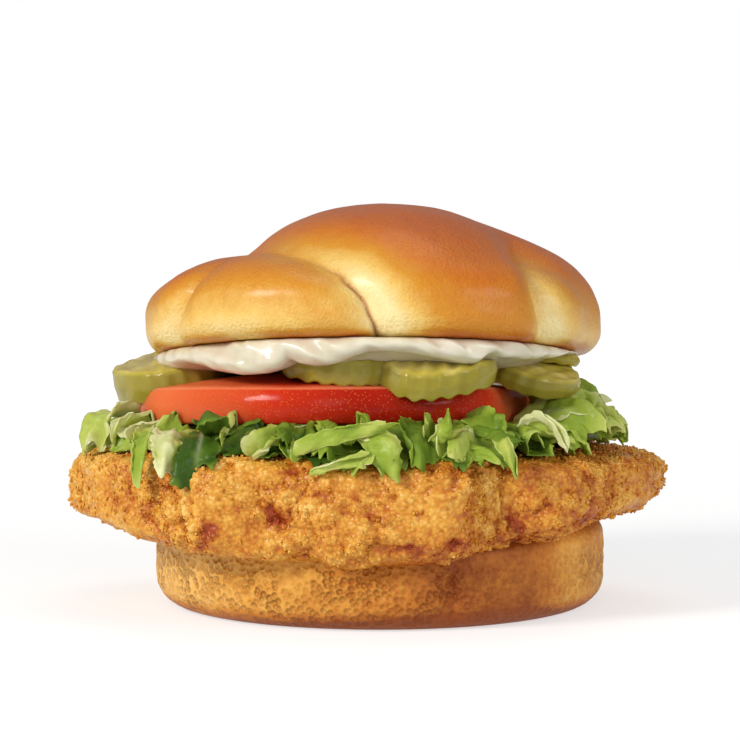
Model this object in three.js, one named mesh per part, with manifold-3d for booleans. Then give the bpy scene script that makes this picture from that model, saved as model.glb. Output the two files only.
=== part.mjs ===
// A crispy chicken burger on a lobed, glazed roll, in millimetres, +Z up.
// The origin is the centre of the heel's underside, +X is the burger's long way and -Y its front.

import * as THREE from "three";
import { mergeVertices } from "three/addons/utils/BufferGeometryUtils.js";
import Module from "manifold-3d";

const wasm = await Module();
wasm.setup();

// Driving dimensions

const rollRadius = 50;
const gap = 0.35;
const degree = Math.PI / 180;

const heel = {
  radius: rollRadius,
  height: 20,
  bulge: 0.7,
  baseCorner: 6,
  topCorner: 4,
  seamAzimuth: 287 * degree,
  seamWidth: 3.5 * degree,
  seamDepth: 1.3,
  unevenSize: 31,
  unevenDepth: 0.5,
  segments: 38,
};

const fillet = {
  centre: [-3.3, -2.5],
  reach: [66.4, 55.5],
  topCentre: 36.2,
  topRisePerForward: 0.028,
  topFallPerSide: 0.0003,
  bottom: 18.2,
  frontDroop: 5.4,
  droopStart: 18,
  droopReach: 38,
  rightLift: 2.4,
  leftLift: 1.6,
  edgeHeight: 26.6,
  edgeRiseRight: 1.1,
  bluntLeft: 0.16,
  bluntRight: 0.36,
  topShoulder: 0.06,
  bottomShoulder: 0.39,
  lipAzimuth: 273 * degree,
  lipWidth: 24 * degree,
  lipDrop: 3.4,
  creaseAzimuth: 299 * degree,
  creaseWidth: 5 * degree,
  creaseDepth: 5,
  cragDepth: 1.1,
  fineCrag: 11,
  broadCrag: 21,
  // Waves of the outline: how many go round, their part of the reach and their phase
  lobes: [
    { waves: 5, part: 0.022, phase: 0.6 },
    { waves: 9, part: 0.014, phase: 2.1 },
    { waves: 14, part: 0.01, phase: 0 },
  ],
  // Places where the edge is drawn in: azimuth, width in degrees and depth
  pinches: [
    { azimuth: 207, width: 4, depth: 1.6 },
    { azimuth: 244, width: 5, depth: 1.6 },
  ],
  segments: [60, 15],
};

const stackLean = -4.6 * degree;

const tomato = {
  centre: [-11, 0],
  radius: 44,
  thickness: 8,
  bottomAtCentre: 39.6,
  skinRound: 2.6,
  dome: 4.2,
  // Waves of the outline, as for the fillet
  lobes: [
    { waves: 3, part: 0.012, phase: 0.5 },
    { waves: 7, part: 0.008, phase: 1.2 },
  ],
  segments: 40,
};

const pickle = {
  wave: 4.4,
  waveHeight: 1,
  droopStart: 2,
  // Part of the radius at which the outermost ridges end, so that the chip's ends aren't points
  endPart: 0.985,
};

// Each chip: place, radius, thickness, turn of its ridges, pitch and roll in degrees, droop of its front
const pickles = {
  pickle_left: {
    at: [-46.4, -8, 50.9],
    radius: 12.8,
    thick: 5,
    turn: 14,
    pitch: 3,
    roll: -10,
    droop: 1,
  },
  pickle_centre_left: {
    at: [-8, -27, 55.1],
    radius: 14.5,
    thick: 5.4,
    turn: 6,
    pitch: 2,
    roll: 2,
    droop: 1,
  },
  pickle_centre_right: {
    at: [11, -30.5, 54.6],
    radius: 13.8,
    thick: 5.4,
    turn: -8,
    pitch: 2,
    roll: 3,
    droop: 3.6,
  },
  pickle_right: {
    at: [31, -15, 52.2],
    radius: 13.2,
    thick: 4.8,
    turn: -32,
    pitch: 8,
    roll: 10,
    droop: 1.8,
  },
  pickle_far_right: {
    at: [35.5, -6, 55.4],
    radius: 9,
    thick: 2.4,
    turn: 50,
    pitch: -6,
    roll: 4,
    droop: 0.5,
  },
};

const crown = {
  centre: [-1.9, 0, 55.6],
  lean: -8 * degree,
  bulgeHeight: 9,
  lowerRound: 80,
  lobeBlend: 1.2,
  segments: [48, 17],
  // Rings of the mesh that lie in the cut face
  bottomRings: 3,
};

// Swelled lobes of the roll, in the crown's own frame: centre, plan radii and height above the cut face
const crownLobes = [
  { at: [0.1, -14.5], radii: [46.9, 36.9], top: 24.3 },
  { at: [-12, 0.2], radii: [39, 48.7], top: 23.8 },
  { at: [2.9, 0.7], radii: [38.8, 50.5], top: 33.6 },
  { at: [15.8, 0], radii: [35.8, 32], top: 28.8 },
  { at: [5, 14.5], radii: [41, 36.5], top: 25.8 },
];

// Creases where one lobe tucks under the next, as azimuth and elevation seen from the bulge's centre.
// The groove reaches `left` mm towards lower azimuths and `right` mm towards higher ones.
const crownCreases = [
  {
    path: [[273, -12], [270, -6], [267, 0], [262, 6], [250, 13], [230, 19], [200, 25], [160, 31]],
    left: 4.5,
    right: 9,
    depth: 4.4,
  },
  {
    path: [[322, -12], [317, -3], [315, 3], [318, 9], [324, 15], [331, 22], [343, 30]],
    left: 6,
    right: 5,
    depth: 3.2,
  },
  {
    path: [[213, -12], [221, -3], [226, 3], [227, 9], [223, 15], [210, 21]],
    left: 6,
    right: 4.5,
    depth: 3.2,
  },
  { path: [[22, -12], [30, 0], [42, 10], [66, 22], [100, 29]], left: 6, right: 6, depth: 2.6 },
  { path: [[84, -12], [92, 0], [104, 10], [128, 20]], left: 6, right: 6, depth: 2.6 },
  { path: [[146, -12], [152, 0], [162, 9], [180, 17]], left: 6, right: 6, depth: 2.6 },
];

const mayonnaise = {
  radius: 47.5,
  innerThickness: 3.4,
  thickness: 2.4,
  frontThickness: 5.2,
  // Waves of the outline, as for the fillet
  lobes: [
    { waves: 6, part: 0.012, phase: 0.8 },
    { waves: 11, part: 0.008, phase: 0 },
  ],
  // Sags of the edge: azimuth, width in degrees and depth
  sags: [
    { azimuth: 234, width: 9, depth: 2.8 },
    { azimuth: 250, width: 5, depth: 1 },
    { azimuth: 268, width: 7, depth: 0.5 },
    { azimuth: 297, width: 6, depth: 2.8 },
    { azimuth: 311, width: 9, depth: 1 },
  ],
  segments: [40, 6],
};

const lettuce = {
  coreRadii: [50, 43],
  coreSegments: 32,
  clear: 0.45,
  leafThickness: 0.9,
  tuckRadius: 37,
  tuckDepth: 1.4,
  crestSetback: 6,
  edgeJag: 1.4,
  // Angle from one leaf's waves to the next one's, so that no two are alike
  phaseStep: 2.399,
  leafColumns: 3,
  leafRows: 3,
};

// Leaves that hang out of the burger: azimuth range, edge radius and height, height of the fold and
// its setback from the edge, ruffle, and for some the radius and height at which the leaf starts
const frontLeaves = [
  { from: 190, to: 203, tuck: [56.3, 38.4], edge: [66, 37.5], crest: 55, setback: 9, ruffle: 0.8 },
  { from: 190, to: 205, edge: [66, 36.8], crest: 41, setback: 1, ruffle: 0.8 },
  { from: 213, to: 222, edge: [68, 28.5], crest: 42, setback: -1, ruffle: 0.4, taper: 0.75 },
  { from: 210, to: 221, edge: [59, 37], crest: 46, ruffle: 1.1 },
  { from: 220, to: 228, edge: [60, 33], crest: 44, ruffle: 0.8 },
  { from: 227, to: 234, edge: [66, 30], crest: 44, setback: -1, ruffle: 0.6 },
  { from: 231, to: 243, edge: [57.5, 37], crest: 47, ruffle: 1.4 },
  { from: 242, to: 254, edge: [57, 36.5], crest: 46, ruffle: 1.2 },
  { from: 252, to: 264, edge: [56, 37.5], crest: 45, ruffle: 1.2 },
  { from: 259, to: 271, edge: [57.5, 36.4], crest: 42, ruffle: 0.5 },
  { from: 270, to: 280, edge: [57, 36.2], crest: 46, ruffle: 1.5 },
  { from: 278, to: 293, edge: [56.5, 37], crest: 47, ruffle: 1.4 },
  { from: 291, to: 300, edge: [56.5, 36.5], crest: 45, ruffle: 1 },
  { from: 298, to: 309, edge: [56, 36], crest: 46, ruffle: 1 },
  { from: 308, to: 315, edge: [57, 36], crest: 48, ruffle: 0.5 },
  { from: 314, to: 328, edge: [54.5, 38.5], crest: 57, ruffle: 1.4 },
  { from: 326, to: 342, edge: [54.5, 38], crest: 58, ruffle: 1.3 },
  { from: 340, to: 356, edge: [54, 39], crest: 54, ruffle: 1.3 },
];

// Leaves round the back, shared out evenly between two azimuths
const backLeaves = {
  count: 7,
  from: 354,
  to: 546,
  overlap: 1.1,
  edge: [54, 36],
  crest: 44,
  ruffle: 1.3,
  vary: 2,
};

// Material colours

const colours = {
  crust: 0xc98239,
  crumb: 0xd9a055,
  leaf: 0x8fae3f,
  tomato: 0xc7402a,
  pickle: 0xa0903f,
  cream: 0xf0ead6,
};

// Part by which an outline swells at an azimuth, from its list of waves
function swell(lobes, azimuth) {
  return lobes.reduce((sum, lobe) => sum + lobe.part * Math.sin(lobe.waves * azimuth + lobe.phase), 0);
}

// Smooth unevenness from -1 to 1, with bumps about `size` mm across
function unevenness(x, y, z, size, phase) {
  const k = (2 * Math.PI) / size;
  const a = Math.sin(k * (x + 0.37 * y) + phase);
  const b = Math.sin(k * (y - 0.29 * z) + 1.7 * phase + 1.1);
  const c = Math.sin(k * (z + 0.41 * x + 0.6 * y) + 2.3 * phase + 2.9);
  return (a + b + c) / 3;
}

// A bell of height 1 at angle `centre`, measured the short way round
function bell(angle, centre, width) {
  const turned = Math.atan2(Math.sin(angle - centre), Math.cos(angle - centre));
  return Math.exp(-((turned / width) ** 2));
}

// Geometry and solids

function toSolid(geometry) {
  const bare = geometry.clone();
  bare.deleteAttribute("normal");
  bare.deleteAttribute("uv");
  const merged = mergeVertices(bare, 1e-4);
  return new wasm.Manifold(
    new wasm.Mesh({
      numProp: 3,
      vertProperties: new Float32Array(merged.attributes.position.array),
      triVerts: new Uint32Array(merged.index.array),
    }),
  );
}

function toGeometry(solid) {
  const mesh = solid.getMesh();
  const geometry = new THREE.BufferGeometry();
  geometry.setAttribute("position", new THREE.BufferAttribute(new Float32Array(mesh.vertProperties), 3));
  geometry.setIndex(new THREE.BufferAttribute(new Uint32Array(mesh.triVerts), 1));
  geometry.computeVertexNormals();
  return geometry;
}

// Moves every corner of a geometry by a rule that takes and gives [x, y, z]
function shape(geometry, rule) {
  const places = geometry.attributes.position;
  for (let i = 0; i < places.count; i += 1) {
    const moved = rule(places.getX(i), places.getY(i), places.getZ(i));
    places.setXYZ(i, moved[0], moved[1], moved[2]);
  }
  return geometry;
}

// A closed slab from an upper and a lower grid of points, each a rule from (s, t) in 0..1
function slab(columns, rows, upper, lower) {
  const points = [];
  const faces = [];
  const across = rows + 1;
  const layer = (columns + 1) * across;
  for (const rule of [upper, lower]) {
    for (let i = 0; i <= columns; i += 1) {
      for (let j = 0; j <= rows; j += 1) {
        points.push(...rule(i / columns, j / rows));
      }
    }
  }
  const corner = (i, j, side) => side * layer + i * across + j;
  const quad = (a, b, c, d) => faces.push(a, b, c, a, c, d);
  for (let i = 0; i < columns; i += 1) {
    for (let j = 0; j < rows; j += 1) {
      quad(corner(i, j, 0), corner(i + 1, j, 0), corner(i + 1, j + 1, 0), corner(i, j + 1, 0));
      quad(corner(i + 1, j, 1), corner(i, j, 1), corner(i, j + 1, 1), corner(i + 1, j + 1, 1));
    }
  }
  for (let i = 0; i < columns; i += 1) {
    quad(corner(i, 0, 1), corner(i + 1, 0, 1), corner(i + 1, 0, 0), corner(i, 0, 0));
    quad(corner(i + 1, rows, 1), corner(i, rows, 1), corner(i, rows, 0), corner(i + 1, rows, 0));
  }
  for (let j = 0; j < rows; j += 1) {
    quad(corner(0, j + 1, 1), corner(0, j, 1), corner(0, j, 0), corner(0, j + 1, 0));
    quad(corner(columns, j, 1), corner(columns, j + 1, 1), corner(columns, j + 1, 0), corner(columns, j, 0));
  }
  const geometry = new THREE.BufferGeometry();
  geometry.setAttribute("position", new THREE.Float32BufferAttribute(points, 3));
  geometry.setIndex(faces);
  return geometry;
}

// Heel: the lower half of the roll, a short barrel with a flat base and a seam in its side
function makeHeel(grow) {
  const { radius, height, bulge, baseCorner, topCorner } = heel;
  const profile = [new THREE.Vector2(0, -grow)];
  const arcSteps = 3;
  for (let i = 0; i <= arcSteps; i += 1) {
    const a = (-90 + (90 * i) / arcSteps) * degree;
    profile.push(
      new THREE.Vector2(
        radius - baseCorner + (baseCorner + grow) * Math.cos(a),
        baseCorner + (baseCorner + grow) * Math.sin(a),
      ),
    );
  }
  for (let i = 0; i <= arcSteps; i += 1) {
    const a = ((90 * i) / arcSteps) * degree;
    profile.push(
      new THREE.Vector2(
        radius - topCorner + (topCorner + grow) * Math.cos(a),
        height - topCorner + (topCorner + grow) * Math.sin(a),
      ),
    );
  }
  profile.push(new THREE.Vector2(0, height + grow));
  const geometry = new THREE.LatheGeometry(profile, heel.segments);
  geometry.rotateX(Math.PI / 2);
  return shape(geometry, (x, y, z) => {
    const r = Math.hypot(x, y);
    const rim = Math.min(1, (r / radius) ** 8);
    const side = Math.sin(Math.PI * Math.min(Math.max(z / height, 0), 1));
    const groove = heel.seamDepth * bell(Math.atan2(y, x), heel.seamAzimuth, heel.seamWidth);
    const push = rim * side * (bulge + heel.unevenDepth * unevenness(x, y, z, heel.unevenSize, 0) - groove);
    const factor = r > 1 ? 1 + push / r : 1;
    return [x * factor, y * factor, z];
  });
}

// Top of the fillet, before its edge rounds off
function filletTop(x, y) {
  return fillet.topCentre - fillet.topRisePerForward * y - fillet.topFallPerSide * x * x;
}

// Underside of the fillet, which droops past the roll at the front and lifts at its ends
function filletBottom(x, y) {
  const forward = Math.max(0, -y - fillet.droopStart) / fillet.droopReach;
  const lift = x > 0 ? fillet.rightLift : fillet.leftLift;
  return fillet.bottom - fillet.frontDroop * forward ** 1.4 + lift * (x / fillet.reach[0]) ** 2;
}

// Chicken fillet: a breaded disc of uneven outline, with crags and a deep crease at the front right
function makeFillet(grow) {
  const geometry = new THREE.SphereGeometry(1, ...fillet.segments);
  geometry.rotateX(Math.PI / 2);
  return shape(geometry, (nx, ny, nz) => {
    const azimuth = Math.atan2(ny, nx);
    const flat = Math.hypot(nx, ny);
    const oval = 1 / Math.hypot(Math.cos(azimuth) / fillet.reach[0], Math.sin(azimuth) / fillet.reach[1]);
    let drawnIn = fillet.creaseDepth * bell(azimuth, fillet.creaseAzimuth, fillet.creaseWidth);
    for (const pinch of fillet.pinches) {
      drawnIn += pinch.depth * bell(azimuth, pinch.azimuth * degree, pinch.width * degree);
    }
    const reach = oval * (1 + swell(fillet.lobes, azimuth)) - drawnIn * flat ** 3 + grow;
    const rightness = (1 + Math.cos(azimuth)) / 2;
    const blunt = fillet.bluntLeft + (fillet.bluntRight - fillet.bluntLeft) * rightness;
    const plan = reach * flat ** blunt;
    let x = fillet.centre[0] + plan * Math.cos(azimuth);
    let y = fillet.centre[1] + plan * Math.sin(azimuth);
    const edge = fillet.edgeHeight + fillet.edgeRiseRight * Math.cos(azimuth) * flat;
    const shoulder = nz > 0 ? fillet.topShoulder : fillet.bottomShoulder;
    const rise = Math.sign(nz) * Math.abs(nz) ** (blunt + shoulder);
    const lip = fillet.lipDrop * bell(azimuth, fillet.lipAzimuth, fillet.lipWidth) * flat;
    const low = edge - filletBottom(x, y) + lip + grow;
    let z = nz > 0 ? edge + (filletTop(x, y) + grow - edge) * rise : edge + low * rise;
    const rim = flat ** 2;
    const fine = unevenness(x, y, z, fillet.fineCrag, 1.3);
    const ridges = 1 - 2 * Math.abs(unevenness(x, y, z, fillet.broadCrag, 3.1));
    const crag = fillet.cragDepth * rim * (0.9 * fine + 0.7 * ridges - 0.5);
    x += crag * nx;
    y += crag * ny;
    z += crag * 0.6 * nz;
    return [x, y, z];
  });
}

// Tomato: one thick slice, its skin rounding into the two cut faces, bowed up in the middle
function makeTomato(grow) {
  const { radius, thickness, skinRound, dome } = tomato;
  const half = thickness / 2;
  const faceRings = [0, 0.4, 0.75];
  const arcSteps = 2;
  const lower = faceRings.map((part) => new THREE.Vector2(part * (radius - skinRound), -half - grow));
  const upper = faceRings.map((part) => new THREE.Vector2(part * (radius - skinRound), half + grow));
  const skin = [];
  for (const side of [-1, 1]) {
    for (let i = 0; i <= arcSteps; i += 1) {
      const a = (side < 0 ? -90 + (90 * i) / arcSteps : (90 * i) / arcSteps) * degree;
      const out = (skinRound + grow) * Math.cos(a);
      const up = (skinRound + grow) * Math.sin(a);
      skin.push(new THREE.Vector2(radius - skinRound + out, side * (half - skinRound) + up));
    }
  }
  const geometry = new THREE.LatheGeometry([...lower, ...skin, ...upper.reverse()], tomato.segments);
  geometry.rotateX(Math.PI / 2);
  return shape(geometry, (x, y, z) => {
    const azimuth = Math.atan2(y, x);
    const waver = 1 + swell(tomato.lobes, azimuth);
    const bow = dome * (1 - Math.min(1, Math.hypot(x, y) / radius) ** 2);
    return [x * waver, y * waver, z + bow];
  });
}

// Crinkle-cut pickle chip: both faces waved, ridges along its own Y, its front edge drooping
function makePickle(chip) {
  const { wave, waveHeight } = pickle;
  const radius = chip.radius;
  const columns = Math.round((2 * radius) / (wave / 2));
  const rows = 3;
  const point = (s, t, side) => {
    const x = (2 * s - 1) * radius * pickle.endPart;
    const y = (2 * t - 1) * Math.sqrt(radius ** 2 - x * x);
    const ridge = Math.round(s * columns) % 2 === 0 ? waveHeight / 2 : -waveHeight / 2;
    return [x, y, (side * chip.thick) / 2 + ridge - pickleSag(chip, y)];
  };
  return slab(columns, rows, (s, t) => point(s, t, 1), (s, t) => point(s, t, -1));
}

// How far a chip droops at a place in front of its middle
function pickleSag(chip, y) {
  return chip.droop * Math.max(0, (-y - pickle.droopStart) / (chip.radius - pickle.droopStart)) ** 2;
}

// The room that a chip and the gap round it take up, without its waves
function makePickleRoom(chip) {
  const radius = chip.radius + 1.5 * gap;
  const half = chip.thick / 2 + pickle.waveHeight / 2 + gap;
  const point = (s, t, side) => {
    const x = radius * Math.sin(1.5 * (2 * s - 1));
    const y = (2 * t - 1) * Math.sqrt(radius ** 2 - x * x);
    return [x, y, side * half - pickleSag(chip, y)];
  };
  return slab(8, 3, (s, t) => point(s, t, 1), (s, t) => point(s, t, -1));
}

// Distance from the bulge's centre to the blended lobes, along a unit direction
function lobeReach(nx, ny, nz) {
  let sum = 0;
  for (const lobe of crownLobes) {
    const up = nz > 0 ? lobe.top - crown.bulgeHeight : crown.lowerRound;
    const [dx, dy, dz] = [nx / lobe.radii[0], ny / lobe.radii[1], nz / up];
    const [ox, oy] = [-lobe.at[0] / lobe.radii[0], -lobe.at[1] / lobe.radii[1]];
    const a = dx * dx + dy * dy + dz * dz;
    const b = ox * dx + oy * dy;
    const c = ox * ox + oy * oy - 1;
    sum += Math.exp((-b + Math.sqrt(b * b - a * c)) / a / crown.lobeBlend);
  }
  return crown.lobeBlend * Math.log(sum);
}

// Depth of the creases at a direction given in degrees, for a surface `reach` mm out
function creaseDepth(azimuth, elevation, reach) {
  let depth = 0;
  const flatten = Math.cos(elevation * degree);
  for (const crease of crownCreases) {
    let nearest = Infinity;
    let side = 1;
    let along = 0;
    const last = crease.path.length - 1;
    for (let i = 0; i < last; i += 1) {
      const [a0, e0] = crease.path[i];
      const [a1, e1] = crease.path[i + 1];
      const turned = ((azimuth - a0 + 540) % 360) - 180;
      const px = turned * flatten;
      const py = elevation - e0;
      const vx = (a1 - a0) * flatten;
      const vy = e1 - e0;
      const t = Math.min(1, Math.max(0, (px * vx + py * vy) / (vx * vx + vy * vy)));
      const distance = Math.hypot(px - t * vx, py - t * vy);
      if (distance < nearest) {
        nearest = distance;
        side = px * vy - py * vx > 0 ? 1 : -1;
        along = (i + t) / last;
      }
    }
    const width = side > 0 ? crease.right : crease.left;
    const fade = 1 - along ** 3;
    const offset = (nearest * degree * reach) / width;
    depth += crease.depth * fade * Math.exp(-offset * offset);
  }
  return depth;
}

// Distance from the bulge's centre to the creased crust
function crownReach(azimuth, elevation) {
  const flat = Math.cos(elevation * degree);
  const reach = lobeReach(flat * Math.cos(azimuth), flat * Math.sin(azimuth), Math.sin(elevation * degree));
  return reach - creaseDepth(azimuth / degree + 360, elevation, reach);
}

// Elevation in degrees at which the crust meets the cut face
function rimElevation(azimuth) {
  let elevation = 0;
  for (let i = 0; i < 4; i += 1) {
    elevation = -Math.asin(crown.bulgeHeight / crownReach(azimuth, elevation)) / degree;
  }
  return elevation;
}

// Crown: swelled lobes with creases between them, cut flat below
function makeCrown() {
  const bottomLatitude = -90 + (180 * crown.bottomRings) / crown.segments[1];
  const geometry = new THREE.SphereGeometry(1, ...crown.segments);
  geometry.rotateX(Math.PI / 2);
  return shape(geometry, (sx, sy, sz) => {
    const latitude = Math.asin(Math.min(1, Math.max(-1, sz))) / degree;
    const azimuth = Math.atan2(sy, sx);
    const rim = rimElevation(azimuth);
    const elevation =
      latitude < bottomLatitude
        ? -90 + ((latitude + 90) * (rim + 90)) / (bottomLatitude + 90)
        : 90 - ((90 - latitude) * (90 - rim)) / (90 - bottomLatitude);
    const flat = Math.hypot(sx, sy) < 1e-9 ? 0 : Math.cos(elevation * degree);
    const direction = [flat * Math.cos(azimuth), flat * Math.sin(azimuth), Math.sin(elevation * degree)];
    let reach = crownReach(azimuth, elevation);
    if (direction[2] < 0) {
      reach = Math.min(reach, -crown.bulgeHeight / direction[2]);
    }
    return [reach * direction[0], reach * direction[1], crown.bulgeHeight + reach * direction[2]];
  });
}

// Mayonnaise: a layer under the crown whose edge sags over the front in rounded lips
function makeMayonnaise() {
  const geometry = new THREE.SphereGeometry(1, ...mayonnaise.segments);
  geometry.rotateX(Math.PI / 2);
  return shape(geometry, (nx, ny, nz) => {
    const azimuth = Math.atan2(ny, nx);
    const flat = Math.hypot(nx, ny);
    const frontness = Math.max(0, -Math.sin(azimuth)) ** 2;
    const { radius, innerThickness, thickness, frontThickness, lobes, sags } = mayonnaise;
    const edge = radius * (1 + swell(lobes, azimuth));
    const plan = edge * flat ** 0.35;
    let deep = thickness + (frontThickness - thickness) * frontness;
    for (const sag of sags) {
      deep += sag.depth * bell(azimuth, sag.azimuth * degree, sag.width * degree);
    }
    const depth = innerThickness + (deep - innerThickness) * flat ** 3;
    const z = nz > 0 ? -gap : -gap - depth * Math.abs(nz) ** 0.8;
    return [plan * Math.cos(azimuth), plan * Math.sin(azimuth), z];
  });
}

// One leaf: tucked in under the tomato, folded up over a crest and hanging over the fillet's edge
function makeLeaf(leaf, index) {
  const phase = index * lettuce.phaseStep;
  const taper = leaf.taper ?? 0;
  const setback = leaf.setback ?? lettuce.crestSetback;
  const middle = (s, t) => {
    const narrowed = 0.5 + (s - 0.5) * (1 - taper * t);
    const azimuth = (leaf.from + (leaf.to - leaf.from) * narrowed) * degree;
    const inner = lettuce.tuckRadius;
    const tuck = leaf.tuck ?? [inner, tomatoBottom(inner * Math.sin(azimuth)) - lettuce.tuckDepth];
    const crestR = leaf.edge[0] - setback + 1.5 * Math.sin(5 * s + phase);
    const crestZ = leaf.crest + 1.2 * Math.sin(7 * s + 2 * phase);
    const a = (1 - t) ** 2;
    const b = 2 * t * (1 - t);
    const c = t * t;
    const ripple = leaf.ruffle * t * Math.sin(3.4 * Math.PI * s + phase);
    const r = a * tuck[0] + b * crestR + c * leaf.edge[0] + ripple;
    const jag = lettuce.edgeJag * c * Math.sin(8 * s + 1.7 * phase);
    const z = a * tuck[1] + b * crestZ + c * leaf.edge[1] + 0.4 * ripple + jag;
    return new THREE.Vector3(r * Math.cos(azimuth), r * Math.sin(azimuth), z);
  };
  const face = (s, t, side) => {
    const step = 0.02;
    const along = middle(s + step, t).sub(middle(s - step, t));
    const across = middle(s, Math.min(1, t + step)).sub(middle(s, Math.max(0, t - step)));
    const normal = across.cross(along).normalize();
    const place = middle(s, t).addScaledVector(normal, (side * lettuce.leafThickness) / 2);
    return [place.x, place.y, place.z];
  };
  const upper = (s, t) => face(s, 1 - t, 1);
  const lower = (s, t) => face(s, 1 - t, -1);
  return slab(lettuce.leafColumns, lettuce.leafRows, upper, lower);
}

// Lean of the tomato's underside in the part frame
function tomatoBottom(y) {
  return tomato.bottomAtCentre + Math.tan(stackLean) * y;
}

// Core of the lettuce layer: a flat oval between the fillet and the tomato
function makeLettuceCore() {
  const geometry = new THREE.CylinderGeometry(1, 1, 1, lettuce.coreSegments);
  geometry.rotateX(Math.PI / 2);
  return shape(geometry, (nx, ny, nz) => {
    const x = nx * lettuce.coreRadii[0];
    const y = ny * lettuce.coreRadii[1];
    const low = filletTop(x, y) + lettuce.clear;
    const high = tomatoBottom(y) - lettuce.clear;
    return [x, y, low + (high - low) * (nz + 0.5)];
  });
}

// Scene

function material(colour, roughness) {
  return new THREE.MeshStandardMaterial({ color: colour, roughness, metalness: 0 });
}

function addMesh(parent, name, geometry, look) {
  const mesh = new THREE.Mesh(geometry, look);
  mesh.name = name;
  parent.add(mesh);
  return mesh;
}

// The mesh's solid in the part frame, optionally with another geometry in the mesh's place
function placedSolid(mesh, geometry = mesh.geometry) {
  const placed = geometry.clone();
  placed.applyMatrix4(mesh.matrixWorld);
  return toSolid(placed);
}

// The largest piece of a solid that a cut may have left in scraps
function largestPiece(solid) {
  const pieces = solid.decompose();
  pieces.sort((a, b) => b.volume() - a.volume());
  return pieces[0];
}

const burger = new THREE.Group();

addMesh(burger, "heel", makeHeel(0), material(colours.crust, 0.7));

const filletSolid = toSolid(makeFillet(0)).subtract(toSolid(makeHeel(gap)));
addMesh(burger, "chicken_fillet", toGeometry(largestPiece(filletSolid)), material(colours.crumb, 0.8));

const tomatoGroup = new THREE.Group();
tomatoGroup.position.set(
  tomato.centre[0],
  tomato.centre[1],
  tomato.bottomAtCentre + tomato.thickness / (2 * Math.cos(stackLean)),
);
tomatoGroup.rotation.x = stackLean;
burger.add(tomatoGroup);
const tomatoMesh = addMesh(tomatoGroup, "tomato_slice", makeTomato(0), material(colours.tomato, 0.25));

const pickleMeshes = Object.entries(pickles).map(([name, chip]) => {
  const holder = new THREE.Group();
  holder.position.set(...chip.at);
  holder.rotation.set(chip.pitch * degree, chip.roll * degree, chip.turn * degree, "YXZ");
  burger.add(holder);
  return addMesh(holder, name, makePickle(chip), material(colours.pickle, 0.35));
});

const crownGroup = new THREE.Group();
crownGroup.position.set(...crown.centre);
crownGroup.rotation.x = crown.lean;
burger.add(crownGroup);
const crownMesh = addMesh(crownGroup, "crown", makeCrown(), material(colours.crust, 0.3));
const mayonnaiseMesh = addMesh(crownGroup, "mayonnaise", makeMayonnaise(), material(colours.cream, 0.25));

burger.updateMatrixWorld(true);

// Each chip is cut clear of the chips before it and of the crown
const placedChips = [];
const crownSolid = placedSolid(crownMesh, crownMesh.geometry.clone().translate(0, 0, -gap));
for (const mesh of pickleMeshes) {
  let solid = placedSolid(mesh);
  for (const earlier of placedChips) {
    solid = solid.subtract(earlier);
  }
  solid = solid.subtract(placedSolid(tomatoMesh, makeTomato(gap))).subtract(crownSolid);
  mesh.geometry = toGeometry(largestPiece(solid)).applyMatrix4(mesh.matrixWorld.clone().invert());
  placedChips.push(placedSolid(mesh, makePickleRoom(pickles[mesh.name])));
}

// The mayonnaise fills only what the chips and the slice leave free
let creamSolid = placedSolid(mayonnaiseMesh).subtract(placedSolid(tomatoMesh, makeTomato(gap)));
for (const chip of placedChips) {
  creamSolid = creamSolid.subtract(chip);
}
mayonnaiseMesh.geometry = toGeometry(largestPiece(creamSolid)).applyMatrix4(
  mayonnaiseMesh.matrixWorld.clone().invert(),
);

// Lettuce: the core with its leaves fused on, clear of what it lies between
let saladSolid = toSolid(makeLettuceCore());
frontLeaves.forEach((leaf, i) => {
  saladSolid = saladSolid.add(toSolid(makeLeaf(leaf, i)));
});
const backWidth = (backLeaves.to - backLeaves.from) / backLeaves.count;
for (let i = 0; i < backLeaves.count; i += 1) {
  const { overlap, edge, crest, ruffle, vary } = backLeaves;
  const from = backLeaves.from + i * backWidth;
  const leaf = {
    from,
    to: from + backWidth * overlap,
    edge: [edge[0] + vary * Math.sin(2.1 * i), edge[1] + vary * Math.sin(3.7 * i)],
    crest: crest + vary * Math.sin(1.3 * i),
    ruffle,
  };
  saladSolid = saladSolid.add(toSolid(makeLeaf(leaf, i + frontLeaves.length)));
}
saladSolid = saladSolid.subtract(toSolid(makeFillet(gap)));
saladSolid = saladSolid.subtract(placedSolid(tomatoMesh, makeTomato(gap)));
for (const chip of placedChips) {
  saladSolid = saladSolid.subtract(chip);
}
saladSolid = saladSolid.subtract(crownSolid);
addMesh(burger, "lettuce", toGeometry(largestPiece(saladSolid)), material(colours.leaf, 0.45));

export default burger;
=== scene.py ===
from math import comb, cos, pi, radians, sin, tan

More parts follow.
